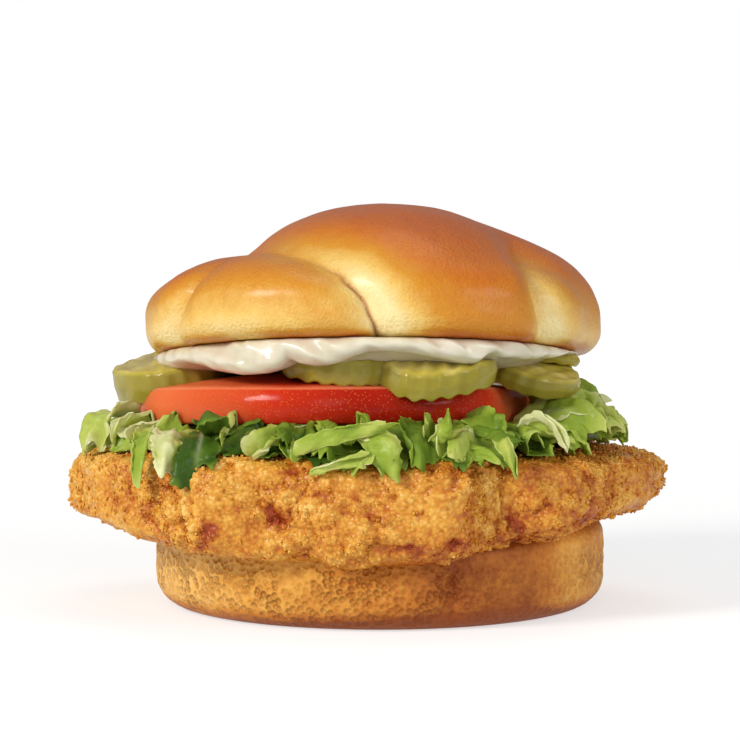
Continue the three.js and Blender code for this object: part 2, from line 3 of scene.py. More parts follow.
import bpy
import numpy as np
from mathutils import Euler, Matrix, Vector


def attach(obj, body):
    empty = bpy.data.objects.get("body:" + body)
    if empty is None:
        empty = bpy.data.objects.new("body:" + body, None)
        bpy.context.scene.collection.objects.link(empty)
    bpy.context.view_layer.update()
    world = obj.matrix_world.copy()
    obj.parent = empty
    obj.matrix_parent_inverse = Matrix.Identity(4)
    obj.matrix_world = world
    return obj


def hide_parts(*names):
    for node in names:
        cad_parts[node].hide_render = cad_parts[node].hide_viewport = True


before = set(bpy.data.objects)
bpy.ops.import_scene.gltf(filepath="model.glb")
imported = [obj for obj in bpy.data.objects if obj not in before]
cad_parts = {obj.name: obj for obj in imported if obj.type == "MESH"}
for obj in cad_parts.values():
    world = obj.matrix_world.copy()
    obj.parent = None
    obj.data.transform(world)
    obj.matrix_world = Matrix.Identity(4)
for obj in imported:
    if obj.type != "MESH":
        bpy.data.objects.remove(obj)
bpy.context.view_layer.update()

# Camera: a long lens a little above the burger and in front of it, tilted slightly down.
# The same numbers turn a place into a point of the 740 x 740 picture further down.
MM = 0.001
camera_place = (-2.25, -620.0, 90.0)
camera_tilt = radians(3.49)
lens_pixels = 2750.0
picture = 740.0
sensor = 36.0

lens = bpy.data.cameras.new("camera")
lens.sensor_width = sensor
lens.lens = lens_pixels * sensor / picture
camera = bpy.data.objects.new("camera", lens)
camera.location = Vector(camera_place) * MM
camera.rotation_euler = (pi / 2 - camera_tilt, 0, 0)
scene = bpy.context.scene
scene.collection.objects.link(camera)
scene.camera = camera


def in_picture(places):
    """Picture points, across and down, of places in mm."""
    away = places - np.array(camera_place)
    depth = away[:, 1] * cos(camera_tilt) - away[:, 2] * sin(camera_tilt)
    rise = away[:, 1] * sin(camera_tilt) + away[:, 2] * cos(camera_tilt)
    across = picture / 2 + lens_pixels * away[:, 0] / depth
    return across, picture / 2 - lens_pixels * rise / depth


def place_seen(across, down, y):
    """The place in mm that shows at a picture point and lies at depth y."""
    right = (across - picture / 2) / lens_pixels
    up = (picture / 2 - down) / lens_pixels
    forward = cos(camera_tilt) + up * sin(camera_tilt)
    rise = up * cos(camera_tilt) - sin(camera_tilt)
    reach = (y - camera_place[1]) / forward
    return (camera_place[0] + right * reach, y, camera_place[2] + rise * reach)


# Studio: a white sweep for a floor, a low soft light at the left, a weaker one at the right.
# The floor glows a little, as a lit white table does, so that shadows on it stay pale.
def colour(code):
    """Linear RGBA of an sRGB hex colour."""
    parts = [int(code[i : i + 2], 16) / 255 for i in (1, 3, 5)]
    return (*[c / 12.92 if c <= 0.04045 else ((c + 0.055) / 1.055) ** 2.4 for c in parts], 1.0)


def add_node(tree, kind, values=None, links=None, stops=None, to=None, **settings):
    """A shader node. A link comes from an output, or from a node's first output, which `to` takes."""
    node = tree.nodes.new("ShaderNode" + kind)
    for key, value in settings.items():
        setattr(node, key, value)
    for key, value in (values or {}).items():
        node.inputs[key].default_value = value
    for key, source in (links or {}).items():
        tree.links.new(source.outputs[0] if hasattr(source, "outputs") else source, node.inputs[key])
    for i, (place, shade) in enumerate(stops or []):
        elements = node.color_ramp.elements
        element = elements[i] if i < 2 else elements.new(place)
        element.position = place
        element.color = colour(shade)
    if to:
        tree.links.new(node.outputs[0], to)
    return node


def new_material(name, *attributes):
    """A material, its tree and surface input, object coordinates and the numbers that it reads."""
    made = bpy.data.materials.new(name)
    made.use_nodes = True
    tree = made.node_tree
    tree.nodes.clear()
    surface = add_node(tree, "OutputMaterial").inputs["Surface"]
    where = add_node(tree, "TexCoord").outputs["Object"]
    read = [add_node(tree, "Attribute", attribute_name=key).outputs["Fac"] for key in attributes]
    return made, tree, surface, where, *read


def primitive(add, name, **settings):
    """A primitive added with nothing else selected."""
    bpy.ops.object.select_all(action="DESELECT")
    add(**settings)
    piece = bpy.context.object
    piece.name = name
    piece.data.name = name
    return piece


paper, tree, surface, where = new_material("white_paper_sweep")
away = add_node(tree, "VectorMath", links={0: where}, operation="LENGTH").outputs["Value"]
brighter_far = {"From Min": 0.15, "From Max": 0.9, "To Min": 0.6, "To Max": 0.88}
level = add_node(tree, "MapRange", brighter_far, {"Value": away})
seen_glow = add_node(tree, "Emission", {"Color": colour("#ffffff")}, {"Strength": level})
bounce = add_node(tree, "Emission", {"Color": colour("#ffffff"), "Strength": 0.42})
by_camera = add_node(tree, "LightPath").outputs["Is Camera Ray"]
glow = add_node(tree, "MixShader", links={0: by_camera, 1: bounce, 2: seen_glow})
matt = add_node(tree, "BsdfDiffuse", {"Color": colour("#bcbcbc")})
add_node(tree, "AddShader", links={0: glow, 1: matt}, to=surface)
floor = primitive(bpy.ops.mesh.primitive_plane_add, "floor", size=6, location=(0, 0, 0))
floor.data.materials.append(paper)

world = bpy.data.worlds.new("studio")
scene.world = world
world.use_nodes = True
tree = world.node_tree
tree.nodes.clear()
seen_white = add_node(tree, "Background", {"Color": colour("#ffffff"), "Strength": 1.0})
fill = add_node(tree, "Background", {"Color": colour("#fdfdff"), "Strength": 0.3})
by_camera = add_node(tree, "LightPath").outputs["Is Camera Ray"]
sky = add_node(tree, "MixShader", links={0: by_camera, 1: fill, 2: seen_white})
add_node(tree, "OutputWorld", links={"Surface": sky})

aim_height = 0.045
lights = [
    ("key", (-0.74, -0.66, 0.56), 0.34, 8.6, "#fffdf8"),
    ("right_fill", (0.86, -0.52, 0.46), 0.55, 3.2, "#ffffff"),
    ("front_fill", (0.1, -1.1, 0.4), 0.5, 1.1, "#ffffff"),
    ("top_fill", (0.1, 0.2, 0.95), 0.6, 1.3, "#ffffff"),
]
for name, place, size, power, shade in lights:
    lamp = bpy.data.lights.new(name, "AREA")
    lamp.shape = "DISK"
    lamp.size = size
    lamp.energy = power
    lamp.color = colour(shade)[:3]
    holder = bpy.data.objects.new(name, lamp)
    holder.location = place
    aim = Vector((0, 0, aim_height)) - Vector(place)
    holder.rotation_euler = aim.to_track_quat("-Z", "Y").to_euler()
    scene.collection.objects.link(holder)
scene.view_settings.view_transform = "Standard"


# Heel: the lower half of the roll, a short barrel of baked bread standing on its flat base.
# Its side was pressed by the tin into rows of small dimples, and the base edge is browner.
heel_radius = 50.0
heel_height = 20.0
heel_bulge = 0.7
heel_base_corner = 6.0
heel_top_corner = 4.0
heel_seam = (287.0, 3.5, 1.3)
# Browning round the side by azimuth, partly a real bake and partly painted light and shade
heel_toast = [0.3, 0.1, -0.04, -0.06, 0.32, 0.62, 0.6, 0.16, 0.3]
dimple_pitch = 1.35


def read_all(rows, key, width=3):
    """The places, or other numbers, of all corners or faces of a mesh."""
    flat = np.empty(len(rows) * width)
    rows.foreach_get(key, flat)
    return flat.reshape(-1, width)


def set_places(piece, places):
    """Moves a piece's corners to places in mm."""
    piece.data.vertices.foreach_set("co", (places * MM).ravel())
    piece.data.update()


def scrambled(steps, seed):
    """Three repeatable random numbers from 0 to 1 for each whole-numbered place."""
    mixed = (steps[:, 0] * 73856093) ^ (steps[:, 1] * 19349663) ^ (steps[:, 2] * 83492791)
    mixed = (mixed ^ (seed * 2654435)) & 0x7FFFFFFF
    drawn = []
    for _ in range(3):
        mixed = ((mixed ^ (mixed >> 13)) * 1274126177) & 0x7FFFFFFF
        mixed = ((mixed ^ (mixed >> 15)) * 739982445) & 0x7FFFFFFF
        drawn.append(((mixed >> 7) & 0xFFFF) / 65535)
    return np.stack(drawn, 1)


def lumps(places, size, seed):
    """Smooth random lumps about `size` mm across, from about -1 to 1."""
    spread = places / size + seed * 0.37
    steps = np.floor(spread).astype(np.int64)
    inside = spread - steps
    ease = inside**3 * (inside * (inside * 6 - 15) + 10)
    total = np.zeros(len(places))
    for corner in np.ndindex(2, 2, 2):
        slopes = scrambled(steps + np.array(corner), seed) * 2 - 1
        weight = np.prod(np.where(np.array(corner) == 1, ease, 1 - ease), axis=1)
        total += weight * np.sum(slopes * (inside - np.array(corner)), axis=1)
    return 1.25 * total


def cells(places, size, seed):
    """Distance to the nearest of random points `size` mm apart, in parts of it."""
    spread = places / size + seed * 0.61
    steps = np.floor(spread).astype(np.int64)
    nearest = np.full(len(places), 9.0)
    for corner in np.ndindex(3, 3, 3):
        cell = steps + np.array(corner) - 1
        away = np.linalg.norm(cell + scrambled(cell, seed) - spread, axis=1)
        nearest = np.minimum(nearest, away)
    return nearest


def unit(values):
    """Values kept from 0 to 1."""
    return np.clip(values, 0, 1)


def bell(angles, centre, width):
    """A bell of height 1 round an angle, all in degrees."""
    turned = (angles - centre + 180) % 360 - 180
    return np.exp(-((turned / width) ** 2))


def store(piece, name, values):
    """Keeps one number for each corner, for the material to read."""
    attribute = piece.data.attributes.new(name, "FLOAT", "POINT")
    attribute.data.foreach_set("value", np.asarray(values, dtype=np.float32))


def around(radius, azimuth, height):
    """Places in mm at a radius, an azimuth in radians and a height."""
    return np.stack([radius * np.cos(azimuth), radius * np.sin(azimuth), height], 1)


def ball(name, segments, rings):
    """A round start for a piece: azimuth, and the part of the way up from the lower pole."""
    piece = primitive(bpy.ops.mesh.primitive_uv_sphere_add, name, segments=8, ring_count=4, radius=MM)
    i, j = np.meshgrid(np.arange(1, rings), np.arange(segments), indexing="ij")
    azimuth = np.concatenate([[0], (2 * pi * j / segments).ravel(), [0]])
    azimuth = (azimuth + pi) % (2 * pi) - pi
    way = np.concatenate([[0], (i / rings).ravel(), [1]])
    ring = np.arange(segments)
    after = (ring + 1) % segments
    top = (rings - 1) * segments + 1
    first = 1 + segments * np.arange(rings - 2)[:, None]
    quads = np.stack([first + ring, first + after, first + segments + after, first + segments + ring], 2)
    lower = np.stack([np.zeros(segments, int), 1 + after, 1 + ring], 1)
    upper = np.stack([np.full(segments, top), top - segments + ring, top - segments + after], 1)
    faces = lower.tolist() + quads.reshape(-1, 4).tolist() + upper.tolist()
    piece.data.clear_geometry()
    piece.data.from_pydata(np.zeros((len(way), 3)).tolist(), [], faces)
    return piece, azimuth, way


def on_profile(way, profile):
    """Radius and height on a profile of (way, radius, height) rows."""
    ways, radii, heights = zip(*profile)
    return np.interp(way, ways, radii), np.interp(way, ways, heights)


def finish_piece(piece, made, slot, *nodes, angle=40):
    """Gives a piece its material, smooth shading, body and the nodes it stands for. The slot is not used."""
    piece.data.materials.append(made)
    bpy.ops.object.select_all(action="DESELECT")
    piece.select_set(True)
    bpy.context.view_layer.objects.active = piece
    bpy.ops.object.shade_smooth_by_angle(angle=radians(angle))
    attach(piece, "root")
    if nodes:
        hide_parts(*nodes)


heel, azimuth, way = ball("bread_heel", 880, 110)
profile = [(0, 0, 0), (0.1, heel_radius - heel_base_corner, 0)]
for i in range(1, 9):
    turn = radians(-90 + 90 * i / 8)
    out = heel_radius - heel_base_corner + heel_base_corner * cos(turn)
    profile.append((0.1 + 0.25 * i / 8, out, heel_base_corner * (1 + sin(turn))))
for i in range(9):
    turn = radians(90 * i / 8)
    out = heel_radius - heel_top_corner + heel_top_corner * cos(turn)
    up = heel_height - heel_top_corner + heel_top_corner * sin(turn)
    profile.append((0.72 + 0.16 * i / 8, out, up))
profile.append((1, 0, heel_height))
radius, height = on_profile(way, profile)
places = around(radius, azimuth, height)
degrees = np.degrees(azimuth)
rim = np.minimum(1, (radius / heel_radius) ** 8)
side = np.sin(pi * unit(height / heel_height))
seam = heel_seam[2] * bell(degrees, heel_seam[0], heel_seam[1])
seam_line = bell(degrees + 1.4 * lumps(places, 9, 3), heel_seam[0] + 0.5, 0.7)
dimpled = np.interp(height, [0, 2, 13, 17], [0.5, 1, 1, 0.3]) * rim
dimpled *= np.clip(0.85 + 0.7 * lumps(places, 8, 6), 0.3, 1) * (1 - 0.5 * bell(degrees, 310, 22))
push = side * (heel_bulge + 0.5 * lumps(places, 24, 1) - seam)
push += dimpled * 0.28 * lumps(places, 2.2, 2) + rim * 0.2 * lumps(places, 4, 5)
push -= 0.3 * side * seam_line
places[:, :2] *= (1 + rim * push / np.maximum(radius, 1))[:, None]
set_places(heel, places)
store(heel, "dimpled", dimpled)
toast = 0.75 * unit(1 - height / 4.5) + 0.3 * unit((height - 16) / 4)
# Paler at the left and browner at the front right: partly a darker bake, partly painted light and shade
toast += np.interp(degrees % 360, [0, 90, 180, 225, 262, 290, 308, 326, 360], heel_toast)
toast += 0.18 * lumps(places, 13, 8) + 0.1 * lumps(places, 3, 9) + 0.16 * side * seam_line
store(heel, "toast", unit(0.12 + toast))

# Wheat bread crust, baked against a dimpled tin: matt and golden, browner where toasted, with painted shade
# in the pits and on the front right
crust, tree, surface, where, toasted, dimpled = new_material("bread_crust_tin_baked", "toast", "dimpled")
dimple_scale = 1 / MM / dimple_pitch
dimples = add_node(tree, "TexVoronoi", {"Scale": dimple_scale, "Randomness": 0.85}, {"Vector": where})
shoulder = {"From Min": 0.12, "From Max": 0.72, "To Min": 0.0, "To Max": 1.0}
proud = add_node(tree, "MapRange", shoulder, {"Value": dimples}, interpolation_type="SMOOTHSTEP")
# Painted shade: the pits between the proud parts of the dimples are darkened
pitted = add_node(tree, "Math", {1: -0.42, 2: 0.42}, {0: proud}, operation="MULTIPLY_ADD")
pit_amount = add_node(tree, "Math", links={0: pitted, 1: dimpled}, operation="MULTIPLY")
speckle = add_node(tree, "TexNoise", {"Scale": 900.0, "Detail": 4.0}, {"Vector": where})
browner = add_node(tree, "Math", {1: 0.35}, {0: speckle, 2: toasted}, operation="MULTIPLY_ADD")
stops = [(0.2, "#f0c06a"), (1.0, "#954a14"), (0.45, "#e0a244"), (0.7, "#c67a28")]
shade = add_node(tree, "ValToRGB", links={"Fac": browner}, stops=stops)
pit_links = {"Fac": pit_amount, "Color1": shade}
shade = add_node(tree, "MixRGB", {"Color2": colour("#cc8448")}, pit_links, blend_type="MULTIPLY")
bump = add_node(tree, "Bump", {"Strength": 0.45, "Distance": 0.0004}, {"Height": speckle})
bump = add_node(tree, "Bump", {"Distance": 0.0009}, {"Height": proud, "Strength": dimpled, "Normal": bump})
look = {"Roughness": 0.5, "Specular IOR Level": 0.3, "IOR": 1.45}
add_node(tree, "BsdfPrincipled", look, {"Base Color": shade, "Normal": bump}, to=surface)
finish_piece(heel, crust, "bread_crust", "heel")


# Chicken fillet: a flattened piece of breast in seasoned breading, fried until it is craggy.
# Its mounds are golden and crumbed, and the hollows between them are redder and darker, with painted shade.
fillet_centre = np.array([-3.3, -2.5])
fillet_reach = (66.4, 55.5)
fillet_lobes = [(5, 0.022, 0.6), (9, 0.014, 2.1), (14, 0.01, 0.0)]
fillet_pinches = [(299.0, 5.0, 5.0), (207.0, 4.0, 1.6), (244.0, 5.0, 1.6)]
blunt_left = 0.16
blunt_right = 0.36
fillet_height = 36.2
fillet_underside = 18.2
front_droop = 5.4
front_lip = 3.4
fillet_middle = 27.0
fillet_rim = (26.6, 1.1)
top_softness = 0.06
under_softness = 0.39
front_from = -8.0
resting_gap = 0.35
outward_tilt = 2.2


def fillet_plan(azimuth):
    """Reach of the fillet's outline and how blunt its edge is, at an azimuth in radians."""
    oval = 1 / np.hypot(np.cos(azimuth) / fillet_reach[0], np.sin(azimuth) / fillet_reach[1])
    swell = sum(part * np.sin(waves * azimuth + phase) for waves, part, phase in fillet_lobes)
    drawn = sum(depth * bell(np.degrees(azimuth), at, wide) for at, wide, depth in fillet_pinches)
    blunt = blunt_left + (blunt_right - blunt_left) * (1 + np.cos(azimuth)) / 2
    return oval * (1 + swell), drawn, blunt


def fillet_top(x, y):
    """Height of the fillet's top before its edge rounds off."""
    return fillet_height - 0.028 * y - 0.0003 * x * x


def fillet_place(azimuth, sphere_z):
    """The smooth fillet at an azimuth and a height on the ball that it is drawn from."""
    flat = np.sqrt(unit(1 - sphere_z**2))
    reach, drawn, blunt = fillet_plan(azimuth)
    plan = (reach - drawn * flat**3) * flat**blunt
    x = fillet_centre[0] + plan * np.cos(azimuth)
    y = fillet_centre[1] + plan * np.sin(azimuth)
    edge = fillet_rim[0] + fillet_rim[1] * np.cos(azimuth) * flat
    rise = np.abs(sphere_z) ** (blunt + np.where(sphere_z > 0, top_softness, under_softness))
    droop = front_droop * (np.maximum(0, -y - 18) / 38) ** 1.4
    low = fillet_underside - droop + np.where(x > 0, 2.4, 1.6) * (x / fillet_reach[0]) ** 2
    lip = front_lip * bell(np.degrees(azimuth), 273, 24) * flat
    above = edge + (fillet_top(x, y) - edge) * rise
    below = edge - (edge - low + lip) * rise
    return np.stack([x, y, np.where(sphere_z > 0, above, below)], 1)


# Rings are shared out by length of the profile, and most of them go to the part that shows
steps = np.linspace(-1, 1, 4001)
outline = fillet_place(np.full(4001, radians(262.0)), steps)
from_middle = np.hypot(outline[:, 0] - fillet_centre[0], outline[:, 1] - fillet_centre[1])
length = np.hypot(np.diff(from_middle), np.diff(outline[:, 2]))
shows = np.interp((from_middle[1:] + from_middle[:-1]) / 2, [0, 36, 44, 60], [0.12, 0.3, 1, 1])
shared = np.concatenate([[0], np.cumsum(length * shows)])
shared /= shared[-1]
fillet, azimuth, way = ball("breaded_chicken_fillet", 860, 113)
places = fillet_place(azimuth, np.interp(way, shared, steps))

outward = places - np.array([*fillet_centre, fillet_middle])
outward[:, 2] *= outward_tilt
showing = np.interp(np.hypot(outward[:, 0], outward[:, 1]), [30, 46], [0, 1])
outward /= np.linalg.norm(outward, axis=1)[:, None]
mounds = 1 - 2.2 * np.abs(lumps(places, 17, 2))
knobs = 1 - 2.0 * np.abs(lumps(places, 7.5, 4))
clumped = np.clip(0.55 + 1.7 * lumps(places, 13, 11), 0.12, 1)
clumps = np.clip(1 - (cells(places, 3.9, 7) / 0.78) ** 2, -0.1, 1)
grit = np.clip(1 - (cells(places, 1.6, 3) / 0.78) ** 2, -0.1, 1)
# Hollows that the photo shows at the front: picture point, half width, half height, depth in mm
hollows = [
    (204, 532, 7, 13, 2.2),
    (276, 516, 14, 12, 2.4),
    (320, 497, 8, 5, 1.2),
    (410, 550, 15, 7, 1.8),
    (456, 544, 12, 7, 1.3),
    (524, 530, 8, 13, 1.6),
    (372, 513, 18, 8, 0.8),
    (118, 500, 12, 9, 0.9),
    (583, 520, 14, 8, 0.8),
    (292, 470, 13, 7, 1.2),
]
across, down = in_picture(places)
swirl_across = across + 9 * lumps(places, 5, 41) + 4 * lumps(places, 2.2, 42)
swirl_down = down + 9 * lumps(places, 5, 43) + 4 * lumps(places, 2.2, 44)
hollow = np.zeros(len(places))
front = places[:, 1] < front_from
for at_across, at_down, wide, tall, deep in hollows:
    off = ((swirl_across - at_across) / wide) ** 2 + ((swirl_down - at_down) / tall) ** 2
    hollow += np.where(front, deep * np.exp(-off), 0)
hollow += 4.5 * unit(lumps(places, 12, 21) - 0.32) * ~front
crag = 1.35 * (mounds - 0.6) + 0.8 * (knobs - 0.5) + 1.7 * clumped * (clumps - 0.65)
crag += (0.18 + 0.42 * clumped) * (grit - 0.55) + 0.2 * lumps(places, 1.0, 9)
crag -= 0.55 * hollow

# The front lobe ends in a ledge over the right lobe
past_ledge = np.where(front, across - (497 + 0.22 * (down - 470)), -99)
ledge = np.exp(-np.maximum(0, past_ledge) / 32) / (1 + np.exp(-past_ledge / 2.2))
crag -= 2.8 * ledge
places += outward * (showing * crag)[:, None]

# The underside lies on the heel and drapes over its edge
from_axis = np.hypot(places[:, 0], places[:, 1])
heel_flat = heel_radius - heel_top_corner
off_flat = np.clip((heel_top_corner + resting_gap) ** 2 - (from_axis - heel_flat) ** 2, 0, None)
corner_top = heel_height - heel_top_corner + np.sqrt(off_flat)
heel_cover = np.where(from_axis < heel_flat, heel_height + resting_gap, corner_top)
rests = (from_axis < 50.3) & (places[:, 2] < heel_cover)
places[:, 2] = np.where(rests, heel_cover, places[:, 2])
set_places(fillet, places)
# Fried colour: redder at random and towards the right, darker low down, and darker with painted shade in the
# hollows and between the clumps and grains, and a painted shadow under the front lobe's ledge
redness = 0.42 * np.clip(hollow / 1.6, 0, 1.4) + 0.26 * clumped * (0.5 - clumps)
redness += 0.1 * (0.5 - grit) + 0.2 * lumps(places, 15, 31) + 0.08 * lumps(places, 6, 33)
redness += 0.08 * np.clip(places[:, 0] / 60, -0.6, 1) + 0.12 * ledge
redness += 0.12 * unit((20 - places[:, 2]) / 8)
fried_look = unit(0.2 + redness)
store(fillet, "fried", fried_look)

# Flour and crumb breading, deep fried: golden, with fine bright grains and an oily sheen
breading, tree, surface, where, fried = new_material("fried_breading", "fried")
grains = add_node(tree, "TexVoronoi", {"Scale": 1150.0, "Randomness": 1.0}, {"Vector": where})
patches = add_node(tree, "TexNoise", {"Scale": 330.0, "Detail": 5.0}, {"Vector": where})
grained = add_node(tree, "Math", {1: 0.3}, {0: grains, 2: fried}, operation="MULTIPLY_ADD")
patched = add_node(tree, "Math", {1: 0.5}, {0: patches, 2: grained}, operation="MULTIPLY_ADD")
stops = [(0.32, "#f2c670"), (0.97, "#a04012"), (0.5, "#e3a540"), (0.66, "#cf8629"), (0.8, "#bb661d")]
shade = add_node(tree, "ValToRGB", links={"Fac": patched}, stops=stops)
bump = add_node(tree, "Bump", {"Strength": 0.6, "Distance": 0.0005}, {"Height": grains}, invert=True)
look = {
    "Roughness": 0.33, "Specular IOR Level": 0.36, "IOR": 1.47,
    "Subsurface Weight": 0.12, "Subsurface Radius": (1.0, 0.5, 0.2), "Subsurface Scale": 0.0012,
}
add_node(tree, "BsdfPrincipled", look, {"Base Color": shade, "Normal": bump}, to=surface)
finish_piece(fillet, breading, "fried_crumb", "chicken_fillet", angle=80)


# Loose crumbs: grains of the breading from 0.4 to 1.8 mm that stand proud of the fillet's crust.
# Each is an uneven lump sunk partly into the crust, and all keep the fried breading's finish.
def scatter(name, base, count, sizes, seed, sink, ok):
    """Uneven grains spread over a piece's faces, more of them where the faces are proud."""
    rng = np.random.default_rng(seed)
    faces = base.data.polygons
    centres = read_all(faces, "center") / MM
    normals = read_all(faces, "normal")
    weight = read_all(faces, "area", 1)[:, 0] * ok(centres, normals)
    chosen = rng.choice(len(faces), count, p=weight / weight.sum())
    grain = primitive(bpy.ops.mesh.primitive_ico_sphere_add, name, subdivisions=1, radius=MM)
    shape = read_all(grain.data.vertices, "co") / MM
    shape_faces = [tuple(face.vertices) for face in grain.data.polygons]
    spins = rng.normal(size=(count, 1, 4))
    spins /= np.linalg.norm(spins, axis=2)[..., None]
    size = sizes[0] + (sizes[1] - sizes[0]) * rng.random(count) ** 2.2
    stretch = rng.uniform(0.65, 1.25, (count, 1, 3))
    uneven = rng.uniform(0.72, 1.2, (count, len(shape), 1))
    bodies = shape[None] * stretch * uneven * size[:, None, None] / 2
    across = np.cross(spins[..., 1:], bodies)
    bodies += 2 * (spins[..., :1] * across + np.cross(spins[..., 1:], across))
    spots = centres[chosen] + normals[chosen] * (size * (0.5 - sink))[:, None]
    bodies += spots[:, None, :]
    starts = np.arange(count)[:, None, None] * len(shape)
    all_faces = (np.array(shape_faces)[None] + starts).reshape(-1, 3)
    grain.data.clear_geometry()
    grain.data.from_pydata((bodies.reshape(-1, 3) * MM).tolist(), [], all_faces.tolist())
    first_corners = np.array([face.vertices[0] for face in faces])[chosen]
    shades = fried_look[first_corners] + rng.uniform(-0.12, 0.1, count)
    store(grain, "fried", np.repeat(unit(shades), len(shape)))
    return grain


def on_side(centres, normals):
    """Where the fillet's crust shows and can hold crumbs."""
    from_middle = np.hypot(centres[:, 0] - fillet_centre[0], centres[:, 1] - fillet_centre[1])
    proud = np.clip(0.55 + 1.7 * lumps(centres, 13, 11) + 0.5 * lumps(centres, 6, 14), 0.1, 1)
    return proud * (from_middle > 44) * ((normals[:, 2] > -0.75) | (from_middle > 53))


coarse = scatter("breading_crumbs_coarse", fillet, 900, (0.9, 1.8), 5, 0.5, on_side)
finish_piece(coarse, breading, "fried_crumb", angle=60)
fine = scatter("breading_crumbs_fine", fillet, 8500, (0.4, 0.95), 6, 0.3, on_side)
finish_piece(fine, breading, "fried_crumb", angle=60)


# Tomato: one thick ripe slice, its skin showing all round and its cut faces bowed up slightly.
# The skin is glossy with fine golden specks, paler orange at the left and at the right end with painted
# light, deeper red at the front right with painted shade, and paler along its upper cut edge.
stack_lean = radians(-4.6)
tomato_centre = (-11.0, 0.0)
tomato_radius = 44.0
tomato_thickness = 8.0
tomato_bottom = 39.6
tomato_dome = 4.2
tomato_lobes = [(3, 0.012, 0.5), (7, 0.008, 1.2)]


def leaned(places, lean, at):
    """Places of a piece's own frame, leaned about X and moved into the burger's frame."""
    y = places[:, 1] * cos(lean) - places[:, 2] * sin(lean)
    z = places[:, 1] * sin(lean) + places[:, 2] * cos(lean)
    return np.stack([places[:, 0] + at[0], y + at[1], z + at[2]], 1)


tomato, azimuth, way = ball("tomato_slice_cut", 420, 72)
half = tomato_thickness / 2
profile = [(0, 0, -half), (0.22, tomato_radius - 1.5, -half), (0.26, tomato_radius - 0.55, 0.45 - half)]
for i in range(1, 10):
    up = -1 + 2 * i / 10
    profile.append((0.26 + 0.48 * i / 10, tomato_radius - 0.55 + 0.9 * (1 - up * up), up * (half - 0.4)))
profile += [(0.74, tomato_radius - 0.55, half - 0.45), (0.78, tomato_radius - 1.5, half), (1, 0, half)]
radius, height = on_profile(way, profile)
radius = radius * (1 + sum(part * np.sin(w * azimuth + phase) for w, part, phase in tomato_lobes))
bow = tomato_dome * (1 - np.minimum(1, radius / tomato_radius) ** 2)
places = around(radius, azimuth, height + bow)
skin = np.interp(way, [0.22, 0.26, 0.74, 0.78], [0, 1, 1, 0])
places[:, :2] *= (1 + skin * (0.006 * lumps(places, 16, 4) + 0.0015 * lumps(places, 3, 6)))[:, None]
places[:, 2] += 0.18 * lumps(places, 9, 7) * (1 - skin)
slice_at = (*tomato_centre, tomato_bottom + half / cos(stack_lean))
places = leaned(places, stack_lean, slice_at)
set_places(tomato, places)
store(tomato, "cut_edge", np.interp(way, [0.74, 0.755, 0.775, 0.785], [0, 0.8, 0.5, 0]))
# Round the skin: painted light makes it paler orange at the left and at the right end, painted shade makes it
# deeper red at the front right; a random ripeness is added on top
ripeness = np.interp(
    np.degrees(azimuth) % 360,
    [0, 180, 215, 250, 275, 310, 335, 360],
    [0.05, 0.0, 0.05, 0.5, 0.85, 0.85, 0.15, 0.05],
)
store(tomato, "ripe", unit(ripeness + 0.3 * lumps(places, 22, 2)))

# Ripe tomato: wet and glossy, lit a little from within, golden specks about 0.7 mm apart
ripe_tomato, tree, surface, where, ripe, pale_edge = new_material("ripe_tomato_cut", "ripe", "cut_edge")
specks = add_node(tree, "TexVoronoi", {"Scale": 1500.0}, {"Vector": where})
stops = [(0.0, "#e06e3e"), (1.0, "#aa2010"), (0.5, "#c8351a")]
shade = add_node(tree, "ValToRGB", links={"Fac": ripe}, stops=stops)
fading_out = {"From Min": 0.12, "From Max": 0.3, "To Min": 0.42, "To Max": 0.0}
speck_amount = add_node(tree, "MapRange", fading_out, {"Value": specks})
shade = add_node(tree, "MixRGB", {"Color2": colour("#ee8a3c")}, {"Fac": speck_amount, "Color1": shade})
shade = add_node(tree, "MixRGB", {"Color2": colour("#f0875c")}, {"Fac": pale_edge, "Color1": shade})
wavy = add_node(tree, "TexNoise", {"Scale": 260.0, "Detail": 3.0}, {"Vector": where})
bump = add_node(tree, "Bump", {"Strength": 0.25, "Distance": 0.0004}, {"Height": wavy})
look = {
    "Roughness": 0.34, "Specular IOR Level": 0.0, "IOR": 1.38, "Coat Weight": 0.22, "Coat Roughness": 0.12,
    "Subsurface Weight": 0.5, "Subsurface Radius": (1.0, 0.3, 0.1), "Subsurface Scale": 0.006,
}
add_node(tree, "BsdfPrincipled", look, {"Base Color": shade, "Normal": bump}, to=surface)
finish_piece(tomato, ripe_tomato, "tomato", "tomato_slice", angle=50)


# Pickles: five crinkle-cut slices of pickled cucumber laid on the tomato, wet and olive green.
# The wavy blade left ridges 3.6 mm apart on both faces, and the skin shows as a darker rim.
ridge_pitch = 3.6
flute = 0.012
chips = {
    "pickle_left": ((-46.6, -6, 52.0), 12.9, 7.4, (6, -13, 14), 1.4, 0.3),
    "pickle_centre_left": ((-7.6, -27, 55.6), 14.5, 5.6, (3, 2, 6), 1.0, 0.7),
    "pickle_centre_right": ((11, -30.5, 54.8), 13.8, 5.8, (3, 3, -8), 3.4, 0.8),
    "pickle_right": ((33.2, -14, 53.2), 11.4, 4.6, (12, 20, -32), 1.4, 0.4),
    "pickle_far_right": ((35.5, -6, 55.4), 9.0, 2.4, (-6, 4, 50), 0.5, 0.3),
}

